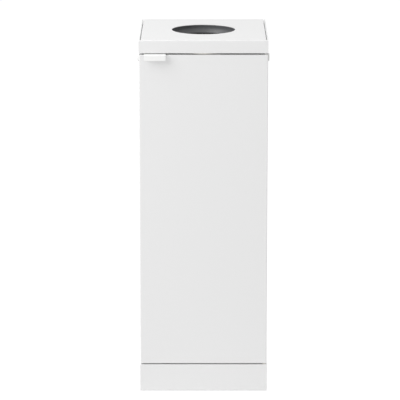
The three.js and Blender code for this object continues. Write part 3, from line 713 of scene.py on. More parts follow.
@dataclass(frozen=True)
class Pivot:
    """The pins and bushes that the door turns on: diameters, and the edges of pins and bushes."""

    pin: float = 4.0
    bore: float = 4.6
    sleeve: float = 7.0
    bush_hole: float = 7.6
    head_height: float = 2.0
    head_edge: float = 0.8
    head_chamfer: float = 0.2
    tip_edge: float = 1.2
    end_flat: float = 0.4
    bush_edge: float = 0.3
    seat_root: float = 0.1
    sleeve_root: float = 0.2

    def make_pin(self, shop: Workshop, node: str) -> None:
        """Upright pivot pin: a riveted head with a round edge, and a shank with a bullet-shaped tip.

        Args:
            shop: where it is made.
            node: the frame's node.
        """
        box = Box.of(node)
        low, high, cut = box.low[2], box.high[2], self.head_chamfer
        shank, head, seat = self.pin / 2, box.size[0] / 2, low + self.head_height
        corners = [(self.end_flat, low), (head, low), (head, seat - cut), (head - cut, seat)]
        corners += [(shank, seat), (shank, high), (self.end_flat, high)]
        profile = rounded(corners, [0, self.head_edge, 0, 0, 0, self.tip_edge, 0], steps=5)
        shop.make(node, turned(profile, box.at()), ZINC, edge=0)

    def make_bush(self, shop: Workshop, node: str, seats: Points, radii: Sequence[float]) -> None:
        """Moulded bush: a bore, and outside it the rows of the sleeve and its collar.

        Args:
            shop: where it is made.
            node: the frame's node.
            seats: rows of radius and height between the bore's lower end and the sleeve's upper end.
            radii: radius of each of these corners.
        """
        box = Box.of(node)
        low, high, bore, sleeve = box.low[2], box.high[2], self.bore / 2, self.sleeve / 2
        corners = [(bore, low), *seats, (sleeve, high), (bore, high)]
        section = rounded(corners, [self.bush_edge, *radii, self.bush_edge, self.bush_edge], steps=3)
        shop.make(node, turned(section, box.at(), joined=True), NYLON, edge=0)


@dataclass(frozen=True)
class PanHead:
    """Pan-head sheet-metal screw: its shank's radius and tip, its head's crown, and its cross recess."""

    shank: float = 1.75
    point: float = 2.5
    tip: float = 0.3
    rim: float = 0.5
    crown: float = 2.2
    flat: float = 0.8
    arm: float = 2.1
    blade: float = 0.42
    recess: float = 1.3
    narrowing: float = 0.45
    flare: float = 1.06
    above: float = 0.2
    edge: float = 0.08

    def make(self, shop: Workshop, node: str, back: float) -> None:
        """Domed head and pointed shank, turned, and a cross cut into the head.

        The cross is a stack of three rings, narrow in the depth and wider outside.

        Args:
            shop: where it is made.
            node: the frame's node.
            back: y of the face that the head lies on.
        """
        box = Box.of(node)
        radius, height, tip = box.size[0] / 2, box.high[1] - back, box.low[1] - back
        seat = (box.middle[0], back, box.middle[2])
        shank = [(self.tip, tip), (self.shank, tip + self.point), (self.shank, 0), (radius, 0)]
        dome = arc((radius - self.crown, self.rim), (self.crown, height - self.rim), 0, 90)
        screw = turned(np.vstack([shank, dome, [(self.flat, height)]]), seat, Axis.Y)
        arm, blade = self.arm, self.blade
        half = [(arm, -blade), (arm, blade), (blade, blade), (blade, arm), (-blade, arm), (-blade, blade)]
        outline = np.vstack([half, -np.array(half)])
        shares = np.array([self.narrowing, 1.0, self.flare])[:, None, None]
        depths = np.array([height - self.recess, height, height + self.above])[:, None]
        cross = skin(Axis.Y.lift(outline * shares, depths)).moved(*seat)
        shop.make(node, screw, ZINC, edge=self.edge, drilled=[cross])


@dataclass
class Carcass:
    """Side panels, cover, back, base, plinth and what is fixed to them."""

    shop: Workshop
    steel: float = 1.2
    bend: float = 0.9
    flange: float = 20.0
    hem_width: float = 3.3
    hem_bend: float = 0.45
    seam: float = 1.3
    fit: float = 0.3
    ear_lap: float = 0.8
    ear_reach: float = 4.0
    lip_bend: float = 3.0
    lip_return: float = 20.0
    lip_lower_bend: float = 0.4
    cover_lap: float = 8.0
    plinth_steel: float = 1.5
    plinth_shelf: float = 40.0
    plinth_side_shelf: float = 22.0
    plinth_foot: float = 15.0
    inlet: float = 160.0
    collar_wall: float = 3.0
    collar_flange: float = 2.0
    collar_edge: float = 0.5
    collar_relief: float = 0.2
    cove: float = 2.0
    narrowing: float = 3.0
    screw: PanHead = PanHead()
    screw_hole: float = 4.1
    cap_hole: float = 8.6
    cap_stub: float = 4.0
    cap_stub_length: float = 3.5
    cap_chamfer: float = 0.5
    cap_seat: float = 0.3
    cap_edge: float = 1.6
    housing_corner: float = 2.0
    housing_edge: float = 0.4
    magnet_edge: float = 0.3
    bumper_rim: float = 1.2
    bumper_flat: float = 0.4
    pivot: Pivot = Pivot()
    levels: tuple[str, ...] = ("low", "middle", "high")

    def __post_init__(self) -> None:
        """Reads the places that the pieces share from the frame."""
        cover, panel = Box.of("top_cover"), Box.of("right_side_panel")
        self.half, self.top, self.floor = panel.high[0], panel.high[2], panel.low[2]
        self.front, self.back, self.lip_bottom = cover.low[1], cover.high[1], cover.low[2]
        self.frame_front = Box.of("top_front_rail").low[1] - self.steel
        self.ledge = Box.of("back_panel").high[2] + self.fit + self.steel
        self.cover_half = self.half - self.hem_width - self.seam
        self.fitted = self.half - self.steel - self.fit

    def build(self) -> None:
        """Makes every piece of the carcass."""
        for side in Side:
            self.side_panel(side)
            self.side_cap(side)
            self.plinth_side(side)
            for level in self.levels:
                self.screw.make(self.shop, f"back_screw_{side}_{level}", self.back)
        self.top_cover()
        self.inlet_collar()
        self.lift_stop()
        self.back_panel()
        self.base_plate()
        self.front_rail()
        self.plinth_across("plinth_front", self.front, 1)
        self.plinth_across("plinth_rear", self.back, -1)
        self.magnetic_catch()
        self.pivots()
        for number in (1, 2):
            self.bumper(f"door_bumper_{number}")

    def side_panel(self, side: Side) -> None:
        """Sheet with turned-in front and rear edges, a hem folded along its top, and an ear by the lip.

        Args:
            side: which of the two.
        """
        node, steel, top, ledge = f"{side}_side_panel", self.steel, self.top, self.ledge
        half, inner, hem = self.half, self.half - self.flange, self.half - self.hem_width
        front, face, under = self.frame_front, Box.of(node).low[1], ledge - steel / 2
        corners = [(inner, front), (half, front), (half, self.back), (inner, self.back)]
        wall = fold(corners, steel, self.bend).strip(Axis.Z, self.floor, under)
        corners = [(half, ledge - steel), (half, top), (hem, top), (hem, ledge), (inner, ledge)]
        bends = [self.hem_bend, self.hem_bend, self.bend]
        ear_front, ear_back = self.front + self.lip_bend + self.fit, front + self.ear_reach
        hemmed = fold(corners, steel, bends).strip(Axis.Y, ear_front, self.back)
        lap, ear_top = ear_front + self.ear_lap, top - self.lip_bend - self.fit
        outline = [(face, self.lip_bottom), (ear_back, self.lip_bottom), (ear_back, under)]
        outline += [(lap, under), (lap, ear_top), (face, ear_top)]
        ear = pulled(np.array(outline), Axis.X, half - steel, half)
        _, across, height = Box.of(f"side_cap_{side}").middle
        holes = [bar(self.cap_hole, (half, across, height), Axis.X)]
        for level in self.levels:
            x, _, z = Box.of(f"back_screw_{side}_{level}").middle
            holes.append(bar(self.screw_hole, (abs(x), self.back, z), Axis.Y))
        joined, drilled = [side.of(hemmed), side.of(ear)], [side.of(hole) for hole in holes]
        self.shop.make(node, side.of(wall), WHITE_COAT, joined=joined, drilled=drilled)

    def top_cover(self) -> None:
        """One sheet: top, front lip with its edge turned back, and turned-down sides and back.

        The lip and the rear edge are strips of their own whose flats lap into the top between its sides.
        """
        front, back, top, half, ledge = self.front, self.back, self.top, self.cover_half, self.ledge
        bottom, bends = self.lip_bottom, [self.lip_bend - self.steel, self.lip_lower_bend]
        corners = [(front + self.cover_lap, top), (front, top), (front, bottom)]
        path = fold([*corners, (front + self.lip_return, bottom)], self.steel, bends)
        y, z = path.line.T
        on_top = (z > top - self.steel) & (y > front + self.lip_bend - SLACK)
        on_return = (z < bottom + self.steel) & (y > front + self.steel + self.lip_lower_bend - SLACK)
        corner = self.bend + self.steel
        inside = half - corner - self.fit
        width = np.select([on_top, on_return], [inside, self.fitted], self.half)
        lip = path.strip(Axis.X, -width, width)
        corners = [(half, ledge), (half, top), (-half, top), (-half, ledge)]
        sheet = fold(corners, self.steel, self.bend).strip(Axis.Y, front + self.lip_bend, back - corner)
        path = fold([(back, ledge), (back, top), (back - self.cover_lap, top)], self.steel, self.bend)
        width = np.where(path.line[:, 1] > top - corner + SLACK, inside, half)
        rear = path.strip(Axis.X, -width, width)
        holes = [
            bar(self.inlet, Box.of("inlet_collar").at(top), steps=160),
            bar(self.pivot.bush_hole, Box.of("hinge_bush_top").at(bottom)),
        ]
        self.shop.make("top_cover", lip, WHITE_COAT, joined=[sheet, rear], drilled=holes)

    def inlet_collar(self) -> None:
        """Moulded ring under the hole: a flange, and a wall that is a cove with a round lower edge.

        At share s of the way down, the wall's inner radius is the hole's + cove sin(pi s) - narrowing s.
        """
        box = Box.of("inlet_collar")
        flange, low, top, soft = box.size[0] / 2, box.low[2], box.high[2], self.collar_edge
        half_wall, seat = self.collar_wall / 2, top - self.collar_flange
        share = np.linspace(0, 1, num=33)
        bow = self.cove * np.sin(np.pi * share) - self.narrowing * share
        inside = np.stack([self.inlet / 2 + bow, top + (low + half_wall - top) * share], axis=-1)
        outside = (inside + (self.collar_wall, 0))[inside[:, 1] < seat - self.collar_relief]
        edge = arc(inside[-1] + (half_wall, 0), half_wall, 180, 360, steps=10)[1:-1]
        rim = [(flange - soft, seat), (flange, seat + soft), (flange, top - soft), (flange - soft, top)]
        section = np.vstack([inside, edge, outside[::-1], rim])
        ring = turned(section, box.at(), steps=160, joined=True)
        self.shop.make("inlet_collar", ring, GREY_MOULDING, edge=0)

    def lift_stop(self) -> None:
        """Block under the lip, whose bowed front stands depth s^2 back at share s of its half width."""
        box = Box.of("lift_stop")
        share = np.linspace(-1, 1, num=49)
        reach, depth, _ = box.size
        outline = np.stack([box.middle[0] + reach / 2 * share, box.low[1] + depth * share**2], axis=-1)
        self.shop.make("lift_stop", pulled(outline, Axis.Z, box.low[2], box.high[2]), NYLON)

    def back_panel(self) -> None:
        """Flat sheet behind the bin, with a hole at each screw."""
        screws = [f"back_screw_{side}_{level}" for side in Side for level in self.levels]
        holes = [bar(self.screw_hole, Box.of(screw).middle, Axis.Y) for screw in screws]
        box = Box.of("back_panel")
        self.shop.make("back_panel", block(box.low, box.high), WHITE_COAT, drilled=holes)

    def side_cap(self, side: Side) -> None:
        """Pressed-in cover of a joining hole: a low round button with a soft edge and a stub.

        Args:
            side: which of the two.
        """
        box = Box.of(f"side_cap_{side}")
        radius, face, stub, seat = box.size[1] / 2, box.reach, self.cap_stub, self.half
        end, cut = seat - self.cap_stub_length, self.cap_chamfer
        corners = [(stub - cut, end), (stub, end + cut), (stub, seat), (radius - self.cap_seat, seat)]
        corners += [(radius, seat + self.cap_seat), (radius, face), (radius / 2, face), (cut, face)]
        profile = rounded(corners, [0, 0, 0, 0, 0, self.cap_edge, 0, 0], steps=8)
        cap = turned(profile, (0, *box.middle[1:]), Axis.X, steps=64)
        self.shop.make(f"side_cap_{side}", side.of(cap), CAP_PLASTIC, edge=0)

    def base_plate(self) -> None:
        """Floor of the cabinet, with its front edge turned up to keep the bin back."""
        box = Box.of("base_plate")
        (left, front, under), (right, back, stop) = box.low, box.high
        path = fold([(front, stop), (front, under), (back, under)], self.steel, self.bend)
        self.shop.make("base_plate", path.strip(Axis.X, left, right), WHITE_COAT)

    def front_rail(self) -> None:
        """Channel behind the door's top edge."""
        box = Box.of("top_front_rail")
        (left, front, bottom), (right, back, top) = box.low, box.high
        path = fold([(back, top), (front, top), (front, bottom), (back, bottom)], self.steel, self.bend)
        self.shop.make("top_front_rail", path.strip(Axis.X, left, right), WHITE_COAT)

    def plinth_across(self, node: str, outside: float, inward: int) -> None:
        """Front or rear strip of the plinth: an upright face with a shelf above and a foot below.

        Args:
            node: the frame's node.
            outside: y of its outer face.
            inward: 1 if the shelf reaches towards +y, -1 towards -y.
        """
        corners = [(self.plinth_shelf, self.floor), (0, self.floor), (0, 0), (self.plinth_foot, 0)]
        path = fold(corners, self.plinth_steel, self.bend)
        half = Box.of(node).high[0]
        flat = path.line[:, 0] > self.plinth_steel + self.bend - SLACK
        width = np.where(flat, half - self.plinth_steel - self.fit, half)
        path = Fold(path.line * (inward, 1) + (outside, 0), path.across * (inward, 1), path.steel)
        sheet = path.strip(Axis.X, -width, width)
        holes = [bar(self.pivot.bore, Box.of("hinge_pin_bottom").at(self.floor))] if inward > 0 else []
        self.shop.make(node, sheet, WHITE_COAT, drilled=holes)

    def plinth_side(self, side: Side) -> None:
        """Side strip of the plinth, between the front one and the rear one.

        Args:
            side: which of the two.
        """
        node, steel, floor = f"plinth_{side}", self.plinth_steel, self.floor
        outer = Box.of(node).reach
        corners = [(outer - self.plinth_foot, 0), (outer, 0), (outer, floor)]
        path = fold([*corners, (outer - self.plinth_side_shelf, floor)], steel, self.bend)
        x, z = path.line.T
        flat = x < outer - steel - self.bend + SLACK
        inset = np.select([flat & (z > floor / 2), flat], [self.plinth_shelf, self.plinth_foot], steel)
        sheet = path.strip(Axis.Y, self.front + inset + self.fit, self.back - inset - self.fit)
        self.shop.make(node, side.of(sheet), WHITE_COAT)

    def magnetic_catch(self) -> None:
        """Moulded housing on the rail with a pocket in its face, and the magnet in the pocket."""
        box, magnet = Box.of("magnet_housing"), Box.of("catch_magnet")
        housing = block(box.low, box.high, Axis.Y, self.housing_corner)
        pocket = block(magnet.low - self.fit - (0, CUT, 0), magnet.high + self.fit)
        self.shop.make("magnet_housing", housing, NYLON, edge=self.housing_edge, drilled=[pocket])
        self.shop.make("catch_magnet", block(magnet.low, magnet.high), FERRITE, edge=self.magnet_edge)

    def pivots(self) -> None:
        """The lip's bush, whose collar lies on the lip's edge, and the pin in the front of the plinth."""
        box = Box.of("hinge_bush_top")
        sleeve, collar, edge = self.pivot.sleeve / 2, box.size[0] / 2, self.pivot.bush_edge
        low, seat, top = (box.low[2] + sheets * self.steel for sheets in range(3))
        seats = [(sleeve, low), (sleeve, seat), (collar, seat), (collar, top), (sleeve, top)]
        radii = [edge, self.pivot.seat_root, edge, edge, self.pivot.sleeve_root]
        self.pivot.make_bush(self.shop, "hinge_bush_top", seats, radii)
        self.pivot.make_pin(self.shop, "hinge_pin_bottom")

    def bumper(self, node: str) -> None:
        """Rubber button on the front flange: a low dome on a round base.

        Args:
            node: the frame's node.
        """
        box = Box.of(node)
        (x, _, z), radius, height, rim = box.middle, box.size[0] / 2, box.size[1], self.bumper_rim
        dome = arc((0, -rim), (radius, rim - height), 0, 90)[:-1]
        profile = np.vstack([[(radius, 0)], dome, [(self.bumper_flat, -height)]])
        self.shop.make(node, turned(profile, (x, box.high[1], z), Axis.Y), RUBBER, edge=0)


@dataclass
class Door:
    """The door with its stiffener, pull tab, keeper, upper pin and lower bush."""

    shop: Workshop
    steel: float = 1.2
    bend: float = 0.5
    turn_in: float = 22.0
    inset: float = 30.0
    edge: float = 0.3
    pivot: Pivot = Pivot()
    stiffener_foot: float = 12.0
    tab_steel: float = 2.0
    tab_bend: float = 1.0
    tab_corner: float = 3.0
    tab_edge: float = 0.45
    rivet_hole: float = 4.6
    rivet_shank: float = 2.0
    rivet_head: float = 1.6
    rivet_chamfer: float = 0.2
    rivet_flat: float = 0.3
    keeper_corner: float = 1.5
    keeper_edge: float = 0.15

    def build(self) -> None:
        """Makes every piece of the door."""
        self.panel()
        self.stiffener()
        self.tab()
        self.keeper()
        self.bush()
        self.pivot.make_pin(self.shop, "hinge_pin_top")
        for side in Side:
            self.rivet(f"handle_rivet_{side}")

    def panel(self) -> None:
        """Tray: a profile of distance from the edge and depth, carried round the door's four sides.

        Row (d, y) of the profile becomes the door's outline drawn in by d, at depth y, so that the
        folds meet in a mitre at each corner. The first and last rows close the two faces.
        """
        box = Box.of("door_panel")
        (_, front, bottom), (_, back, top) = box.low, box.high
        corners = [(self.turn_in, back), (0, back), (0, front), (self.inset, front)]
        outer, inner = fold(corners, self.steel, self.bend).faces()
        rows = np.vstack([outer[::-1], inner])
        starts = np.where(QUARTERS > 0, box.low[[0, 2]], box.high[[0, 2]])
        rings = Axis.Y.lift(starts + QUARTERS * rows[:, :1, None], rows[:, 1:])
        holes = [bar(self.pivot.bore, Box.of("hinge_pin_top").at(top))]
        holes.append(bar(self.pivot.bush_hole, Box.of("hinge_bush_bottom").at(bottom)))
        holes += [bar(self.rivet_hole, Box.of(f"handle_rivet_{side}").at(top)) for side in Side]
        self.shop.make("door_panel", skin(rings), WHITE_COAT, edge=self.edge, drilled=holes)

    def stiffener(self) -> None:
        """Hat-shaped channel up the inside of the door."""
        box = Box.of("door_stiffener")
        half, web, foot = box.high[0], box.high[0] - self.stiffener_foot, box.low[1] + self.steel
        back, bottom, top = box.high[1], box.low[2], box.high[2]
        corners = [(half, foot), (web, foot), (web, back), (-web, back), (-web, foot), (-half, foot)]
        sheet = fold(corners, self.steel, self.bend).strip(Axis.Z, bottom, top)
        self.shop.make("door_stiffener", sheet, WHITE_COAT)

    def tab(self) -> None:
        """Pull tab: a strip that lies on the door, reaches forward and folds down to round corners.

        At height h above its lower edge, a corner of radius r draws it in by r - sqrt(r^2 - (r - h)^2).
        """
        box, radius = Box.of("door_handle"), self.tab_corner
        (_, tip, lower), (_, tail, top) = box.low, box.high
        path = fold([(tail, top), (tip, top), (tip, lower)], self.tab_steel, self.tab_bend, steps=12)
        rise = radius * np.cos(np.linspace(0, np.pi / 2, num=9))
        corner = path.line[-1] + np.outer(rise, (0, 1))
        across = np.repeat(path.across[-1:], len(corner), axis=0)
        line, across = np.vstack([path.line[:-1], corner]), np.vstack([path.across[:-1], across])
        y, z = line.T
        drawn_in = radius - np.sqrt(radius**2 - (radius - np.clip(z - lower, 0, radius)) ** 2)
        half, middle = box.size[0] / 2 - np.where(y < tip + self.tab_steel, drawn_in, 0.0), box.middle[0]
        sheet = Fold(line, across, self.tab_steel).strip(Axis.X, middle - half, middle + half)
        # The tab's lighter coat is painted light: it makes the tab brighter than the door.
        self.shop.make("door_handle", sheet, TAB_COAT_PAINTED_LIGHT, edge=self.tab_edge)

    def rivet(self, node: str) -> None:
        """Rivet through the tab and the door's top edge, with a domed head underneath.

        Args:
            node: the frame's node.
        """
        box, shank, cut = Box.of(node), self.rivet_shank, self.rivet_chamfer
        low, high, seat = box.low[2], box.high[2], box.low[2] + self.rivet_head
        dome = arc((0, seat), (box.size[0] / 2, self.rivet_head), -90, 0)[1:]
        upper = [(shank, seat), (shank, high - cut), (shank - cut, high)]
        profile = np.vstack([[(self.rivet_flat, low)], dome, upper])
        self.shop.make(node, turned(profile, box.at()), ZINC, edge=0)

    def keeper(self) -> None:
        """Steel plate that the magnet holds, with round corners."""
        box = Box.of("keeper_plate")
        plate = block(box.low, box.high, Axis.Y, self.keeper_corner)
        self.shop.make("keeper_plate", plate, ZINC, edge=self.keeper_edge)

    def bush(self) -> None:
        """Bush in the door's lower edge, with its collar between the door and the plinth."""
        box, edge = Box.of("hinge_bush_bottom"), self.pivot.bush_edge
        collar, low, seat = box.size[0] / 2, box.low[2], Box.of("door_panel").low[2]
        seats = [(collar, low), (collar, seat), (self.pivot.sleeve / 2, seat)]
        radii = [edge, edge, self.pivot.seat_root]
        self.pivot.make_bush(self.shop, "hinge_bush_bottom", seats, radii)


@dataclass
class Bin:
    """The lift-out bin with its bag ring, and the brackets and pins that the ring tips on."""

    shop: Workshop
    wall: float = 1.0
    corner: float = 24.0
    taper: float = 0.07
    foot: float = 4.0
    rim: float = 4.0
    rim_height: float = 10.0
    rim_gap: float = 2.0
    rim_overlap: float = 0.5
    rim_turn: tuple[float, float] = (-85.0, 88.0)
    bead_depth: float = 1.3
    bead_width: float = 14.0
    bead_shares: tuple[float, ...] = (0.22, 0.5, 0.78)
    floor_rise: float = 3.0
    floor_shares: tuple[float, ...] = (0.80, 0.84, 0.90)
    band: float = 7.0
    band_edge: float = 1.4
    ring_thickness: float = 5.0
    arm_inset: float = 0.4
    knuckle: float = 10.0
    knuckle_length: float = 16.0
    ring_edge: float = 0.3
    pin_bore: float = 4.6
    pin_edge: float = 0.8
    pin_flat: float = 0.3
    fit: float = 0.3
    bracket_steel: float = 2.0
    bracket_inset: float = 0.5
    bracket_corners: tuple[float, ...] = (0.5, 3.0, 4.0, 2.0, 0.5, 0.5)
    cheek_relief: float = 2.6

    def __post_init__(self) -> None:
        """Reads the bin's place from the frame."""
        self.tub = Box.of("inner_bin")

    def build(self) -> None:
        """Makes every piece of the bin."""
        self.inner_bin()
        self.bag_ring()
        for side in Side:
            self.bracket(side)
            self.ring_pin(f"ring_pin_{side}")

    def inner_bin(self) -> None:
        """Tapered tub: a profile of offset and height carried round a rectangle with round corners.

        The profile runs from the raised floor's underside out to the foot, up the outer wall with its
        pressed-in beads, round the rolled rim, down the inner wall and in to the middle of the floor. A
        bead is depth cos^2 of its share of half the width times 90 degrees, and the whole narrows
        downwards by the taper.
        """
        height, half, foot, lap = self.tub.size[2], self.tub.size[:2] / 2 - self.rim, self.foot, self.wall
        heights = np.linspace(foot, height - self.rim_height - self.rim_gap, num=260)
        centres = height * np.array(self.bead_shares)[:, None]
        share = np.clip(np.abs(heights - centres) / self.bead_width * 2, 0, 1)
        beads = -self.bead_depth * (np.cos(share * np.pi / 2) ** 2).sum(axis=0)
        outer, inner = (np.stack([beads - inset, heights], axis=-1) for inset in (0, lap))
        radii = self.rim + self.rim_overlap, self.rim_height / 2
        rim = arc((-self.rim_overlap, height - radii[1]), radii, *self.rim_turn, steps=14)
        outer_foot = arc((-foot, foot), foot, -90, 0, steps=6)[:-1]
        inner_foot = arc((-foot, foot + lap), foot - lap, 0, -90, steps=6)[1:]
        section = np.vstack([outer_foot, outer, rim, inner[::-1], inner_foot])
        scale = 1 - self.taper * (1 - section[:, 1] / height)
        steps = np.array(self.floor_shares)
        rise = self.floor_rise * (1 - smooth_step((steps - steps[0]) / (steps[-1] - steps[0])))
        under, above = (np.stack([np.full(len(steps), -foot), rise + up], axis=-1) for up in (0, lap))
        rows = np.vstack([under, section, above[::-1]])
        shares = np.hstack([steps * scale[0], scale, steps[::-1] * scale[-1]])
        tub = skin(hoop(half, self.corner, rows, shares)).moved(*self.tub.at(self.tub.low[2]))
        self.shop.make("inner_bin", tub, GALVANISED, edge=0)

    def bag_ring(self) -> None:
        """Flat hoop with round edges on the bin's rim, and two knuckles behind it."""
        low, half, reach = self.tub.high[2] + self.fit, self.tub.size[:2] / 2, self.knuckle_length / 2
        high, back = low + self.ring_thickness, self.tub.high[1]
        section = rectangle((-self.band, low), (0, high), self.band_edge)
        ring = skin(hoop(half, self.corner + self.rim, section), joined=True).moved(*self.tub.at())
        pins = [Box.of(f"ring_pin_{side}").middle for side in Side]
        joined = []
        for pin in pins:
            arm = rectangle((back - self.band / 2, low + self.arm_inset), (pin[1], high - self.arm_inset))
            joined.append(pulled(arm, Axis.X, pin[0] - reach, pin[0] + reach))
            joined.append(bar(self.knuckle, pin, Axis.X, reach))
        bores = [bar(self.pin_bore, pin, Axis.X, self.knuckle_length, steps=32) for pin in pins]
        self.shop.make("bag_ring", ring, ZINC, edge=self.ring_edge, joined=joined, drilled=bores)

    def bracket(self, side: Side) -> None:
        """Plate behind the rim with two cheeks for the pin; above the rim the cheeks stand back.

        Args:
            side: which of the two.
        """
        node, steel, inset = f"ring_bracket_{side}", self.bracket_steel, self.bracket_inset
        box, pin = Box.of(node), Box.of(f"ring_pin_{side}").middle
        (left, front, bottom), (right, back, top) = box.low, box.high
        step, behind = self.tub.high[2] - self.fit, front + self.cheek_relief
        corners = [(front, bottom), (back, bottom), (back, top), (behind, top), (behind, step)]
        outline = rounded([*corners, (front, step)], self.bracket_corners)
        cheeks = [pulled(outline, Axis.X, start, start + steel) for start in (left, right - steel)]
        plate = block((left + inset, front, bottom + inset), (right - inset, front + steel, step - inset))
        hole = bar(self.pin_bore, pin, Axis.X, self.knuckle_length, steps=32)
        self.shop.make(node, plate, GALVANISED, joined=cheeks, drilled=[hole])

    def ring_pin(self, node: str) -> None:
        """Pin with domed ends through the cheeks and the knuckle.

        Args:
            node: the frame's node.
        """
        box, edge = Box.of(node), self.pin_edge
        reach, radius, _ = box.size / 2
        corners = [(self.pin_flat, -reach), (radius, -reach), (radius, reach), (self.pin_flat, reach)]
        profile = rounded(corners, [0, edge, edge, 0], steps=4)
        self.shop.make(node, turned(profile, box.middle, Axis.X, steps=32), ZINC, edge=0)


@dataclass
class Feet:
    """Four levelling feet: a nut with its plate, a threaded stud and a pad."""

    shop: Workshop
    plate: float = 2.0
    plate_corner: float = 3.0
    nut: float = 16.0
    bore: float = 8.6
    pitch: float = 1.25
    thread_depth: float = 0.55
    rings_to_turn: int = 8
    sole_edge: float = 0.8
    sole_height: float = 2.0
    slope: float = 9.0
    hub: float = 7.8
    hub_edge: float = 0.2
    pad_bore: float = 2.0
    rows: tuple[str, ...] = ("front", "rear")

    def build(self) -> None:
        """Makes the three pieces of each foot."""
        for row in self.rows:
            for side in Side:
                place = f"{row}_{side}"
                self.nut_plate(f"foot_nut_{place}")
                self.stud(f"foot_stud_{place}")
                self.pad(f"foot_pad_{place}")

    def nut_plate(self, node: str) -> None:
        """Square plate with round corners, and a hexagonal sleeve under it.

        Args:
            node: the frame's node.
        """
        box = Box.of(node)
        low, high = box.low[2], box.high[2]
        plate = block((*box.low[:2], high - self.plate), box.high, radius=self.plate_corner)
        sleeve = turned([(self.nut / 2, low), (self.nut / 2, high - self.plate / 2)], box.at(), steps=6)
        hole = bar(self.bore, box.middle, reach=high - low)
        self.shop.make(node, plate, ZINC, joined=[sleeve], drilled=[hole])

    def stud(self, node: str) -> None:
        """Threaded stud: at angle a and height z the radius is r - d |2 frac(z / pitch - a / 360) - 1|.

        Args:
            node: the frame's node.
        """
        box = Box.of(node)
        radius, low, high = box.size[0] / 2, box.low[2], box.high[2]
        heights = np.linspace(low, high, int((high - low) / self.pitch) * self.rings_to_turn + 1)
        angle = np.linspace(0, 2 * np.pi, num=32, endpoint=False)
        wave = np.abs(2 * np.mod(heights[:, None] / self.pitch - angle / (2 * np.pi), 1) - 1)
        ends = smooth_step(np.minimum(heights - low, high - heights) / self.pitch)[:, None]
        size = radius - self.thread_depth * (wave * ends + 1 - ends)
        rings = Axis.Z.lift(size[..., None] * circle(len(angle)), heights[:, None])
        self.shop.make(node, skin(rings).moved(*box.at()), ZINC, edge=0)

    def pad(self, node: str) -> None:
        """Moulded pad: a flat sole with a round edge, sloping up to a hub round the stud.

        At share s of the slope's width, it stands smooth step of s of the way up to the hub.

        Args:
            node: the frame's node.
        """
        box, edge = Box.of(node), self.sole_edge
        radius, height = box.size[0] / 2, box.high[2]
        sole = arc((radius - edge, edge), edge, -90, 0, steps=5)
        share = np.linspace(0, 1, num=9)
        climb = (height - self.sole_height - self.hub_edge) * smooth_step(share)
        slope = np.stack([radius - self.slope * share, self.sole_height + climb], axis=-1)
        hub = [(self.hub, height), (self.pad_bore, height)]
        profile = np.vstack([[(self.pad_bore, 0)], sole, slope, hub])
        self.shop.make(node, turned(profile, box.at(), steps=64), BLACK_PLASTIC, edge=0)


# --- Studio ---


@dataclass(frozen=True)
class Lamp:
    """A square area lamp: its place, what it looks at, its side and its power."""

    name: str
    place: Point
    target: Point
    side: float
    watts: float

    def hang(self) -> None:
        """Adds the lamp to the scene, turned to its target with no roll."""
        data = bpy.data.lights.new(self.name, "AREA")
        data.size = self.side * MM
        data.energy = self.watts
        lamp = bpy.data.objects.new(self.name, data)
        lamp.location = [value * MM for value in self.place]
        x, y, z = (end - start for start, end in zip(self.place, self.target))
        lamp.rotation_euler = math.atan2(math.hypot(x, y), -z), 0.0, math.atan2(y, x) - math.pi / 2
        lamp.visible_camera = False
        bpy.context.scene.collection.objects.link(lamp)


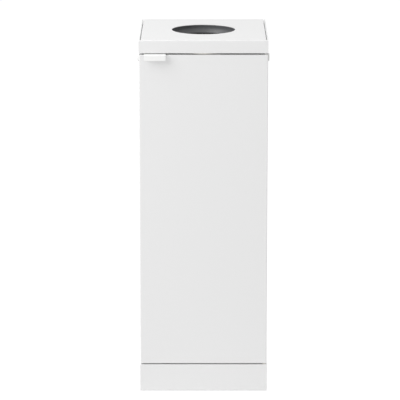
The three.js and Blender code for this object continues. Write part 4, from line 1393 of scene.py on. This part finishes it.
@dataclass
class Studio:
    """White floor and surround, soft lamps and the camera."""

    floor_half: float = 9000.0
    floor_colour: str = "F4F4F4"
    floor_glow: float = 1.1
    floor_show: float = 0.86
    surround: float = 0.635
    camera_distance: float = 6000.0
    camera_height: float = 1852.0
    camera_tilt: float = 12.85
    lens: float = 221.8
    shift: tuple[float, float] = (-0.0088, 0.0135)
    clip: tuple[float, float] = (0.1, 100.0)
    lamps: tuple[Lamp, ...] = (
        Lamp("key_lamp", (-2280, -1620, 2260), (0, -150, 550), 1900, 40.0),
        Lamp("upper_lamp", (-1520, -900, 3250), (0, -150, 600), 1900, 27.0),
    )

    def build(self, front: float) -> None:
        """Sets up the studio.

        Args:
            front: y of the cabinet's front plane.
        """
        bpy.context.scene.view_settings.view_transform = "Standard"
        self.surroundings()
        self.floor()
        for lamp in self.lamps:
            lamp.hang()
        self.camera(front)

    def seen(self, tree: Tree) -> Socket:
        """1 for rays that see the surround itself: from the camera, in a reflection or through glass.

        Args:
            tree: the nodes that ask.

        Returns:
            The largest of the three answers.
        """
        path = add_node(tree, "ShaderNodeLightPath").outputs
        rays = path["Is Camera Ray"]
        for other in ("Is Glossy Ray", "Is Transmission Ray"):
            inputs = {0: rays, 1: path[other]}
            rays = add_node(tree, "ShaderNodeMath", inputs, operation="MAXIMUM").outputs[0]
        return rays

    def surroundings(self) -> None:
        """A white surround to look at, which lights the cabinet with a paler light."""
        world = bpy.data.worlds.new("surround")
        tree = empty_tree(world)
        inputs = {"Value": self.seen(tree), "To Min": self.surround, "To Max": 1.0}
        strength = add_node(tree, "ShaderNodeMapRange", inputs).outputs["Result"]
        light = add_node(tree, "ShaderNodeBackground", {"Color": linear("FFFFFF"), "Strength": strength})
        add_node(tree, "ShaderNodeOutputWorld", {"Surface": light.outputs[0]})
        bpy.context.scene.world = world

    def floor(self) -> None:
        """White floor: what is seen of it is mostly its own white, and the rest takes the shadow.

        Seen from below it is clear, so that it doesn't hide the cabinet's underside.
        """
        edge = self.floor_half * MM
        mesh = bpy.data.meshes.new("floor")
        mesh.from_pydata([(x * edge, y * edge, 0) for x, y in QUARTERS[[2, 3, 0, 1]]], [], [(0, 1, 2, 3)])
        floor = bpy.data.objects.new("floor", mesh)
        bpy.context.scene.collection.objects.link(floor)
        material = bpy.data.materials.new("white_floor")
        tree = empty_tree(material)
        inputs = {"Value": self.seen(tree), "To Max": self.floor_show}
        share = add_node(tree, "ShaderNodeMapRange", inputs).outputs["Result"]
        matt = add_node(tree, "ShaderNodeBsdfDiffuse", {"Color": linear(self.floor_colour)}).outputs[0]
        inputs = {"Color": linear("FFFFFF"), "Strength": self.floor_glow}
        glow = add_node(tree, "ShaderNodeEmission", inputs).outputs[0]
        top = add_node(tree, "ShaderNodeMixShader", {0: share, 1: matt, 2: glow}).outputs[0]
        below = add_node(tree, "ShaderNodeNewGeometry").outputs["Backfacing"]
        clear = add_node(tree, "ShaderNodeBsdfTransparent").outputs[0]
        both = add_node(tree, "ShaderNodeMixShader", {0: below, 1: top, 2: clear})
        add_node(tree, "ShaderNodeOutputMaterial", {"Surface": both.outputs[0]})
        mesh.materials.append(material)

    def camera(self, front: float) -> None:
        """Long lens on the cabinet's middle plane, looking a little down.

        Args:
            front: y of the cabinet's front plane.
        """
        data = bpy.data.cameras.new("camera")
        data.lens = self.lens
        data.shift_x, data.shift_y = self.shift
        data.clip_start, data.clip_end = self.clip
        camera = bpy.data.objects.new("camera", data)
        camera.location = (0, (front - self.camera_distance) * MM, self.camera_height * MM)
        camera.rotation_euler = (math.radians(90 - self.camera_tilt), 0, 0)
        bpy.context.scene.collection.objects.link(camera)
        bpy.context.scene.camera = camera


def main() -> None:
    """Builds the cabinet round the frame, then the studio."""
    logging.basicConfig(level=logging.INFO, format="%(message)s")
    shop = Workshop(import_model())
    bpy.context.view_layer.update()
    carcass = Carcass(shop)
    Studio().build(carcass.front)
    for part in (carcass, Door(shop), Bin(shop), Feet(shop)):
        part.build()
        LOG.info("%s done", type(part).__name__)


if __name__ == "__main__":
    main()
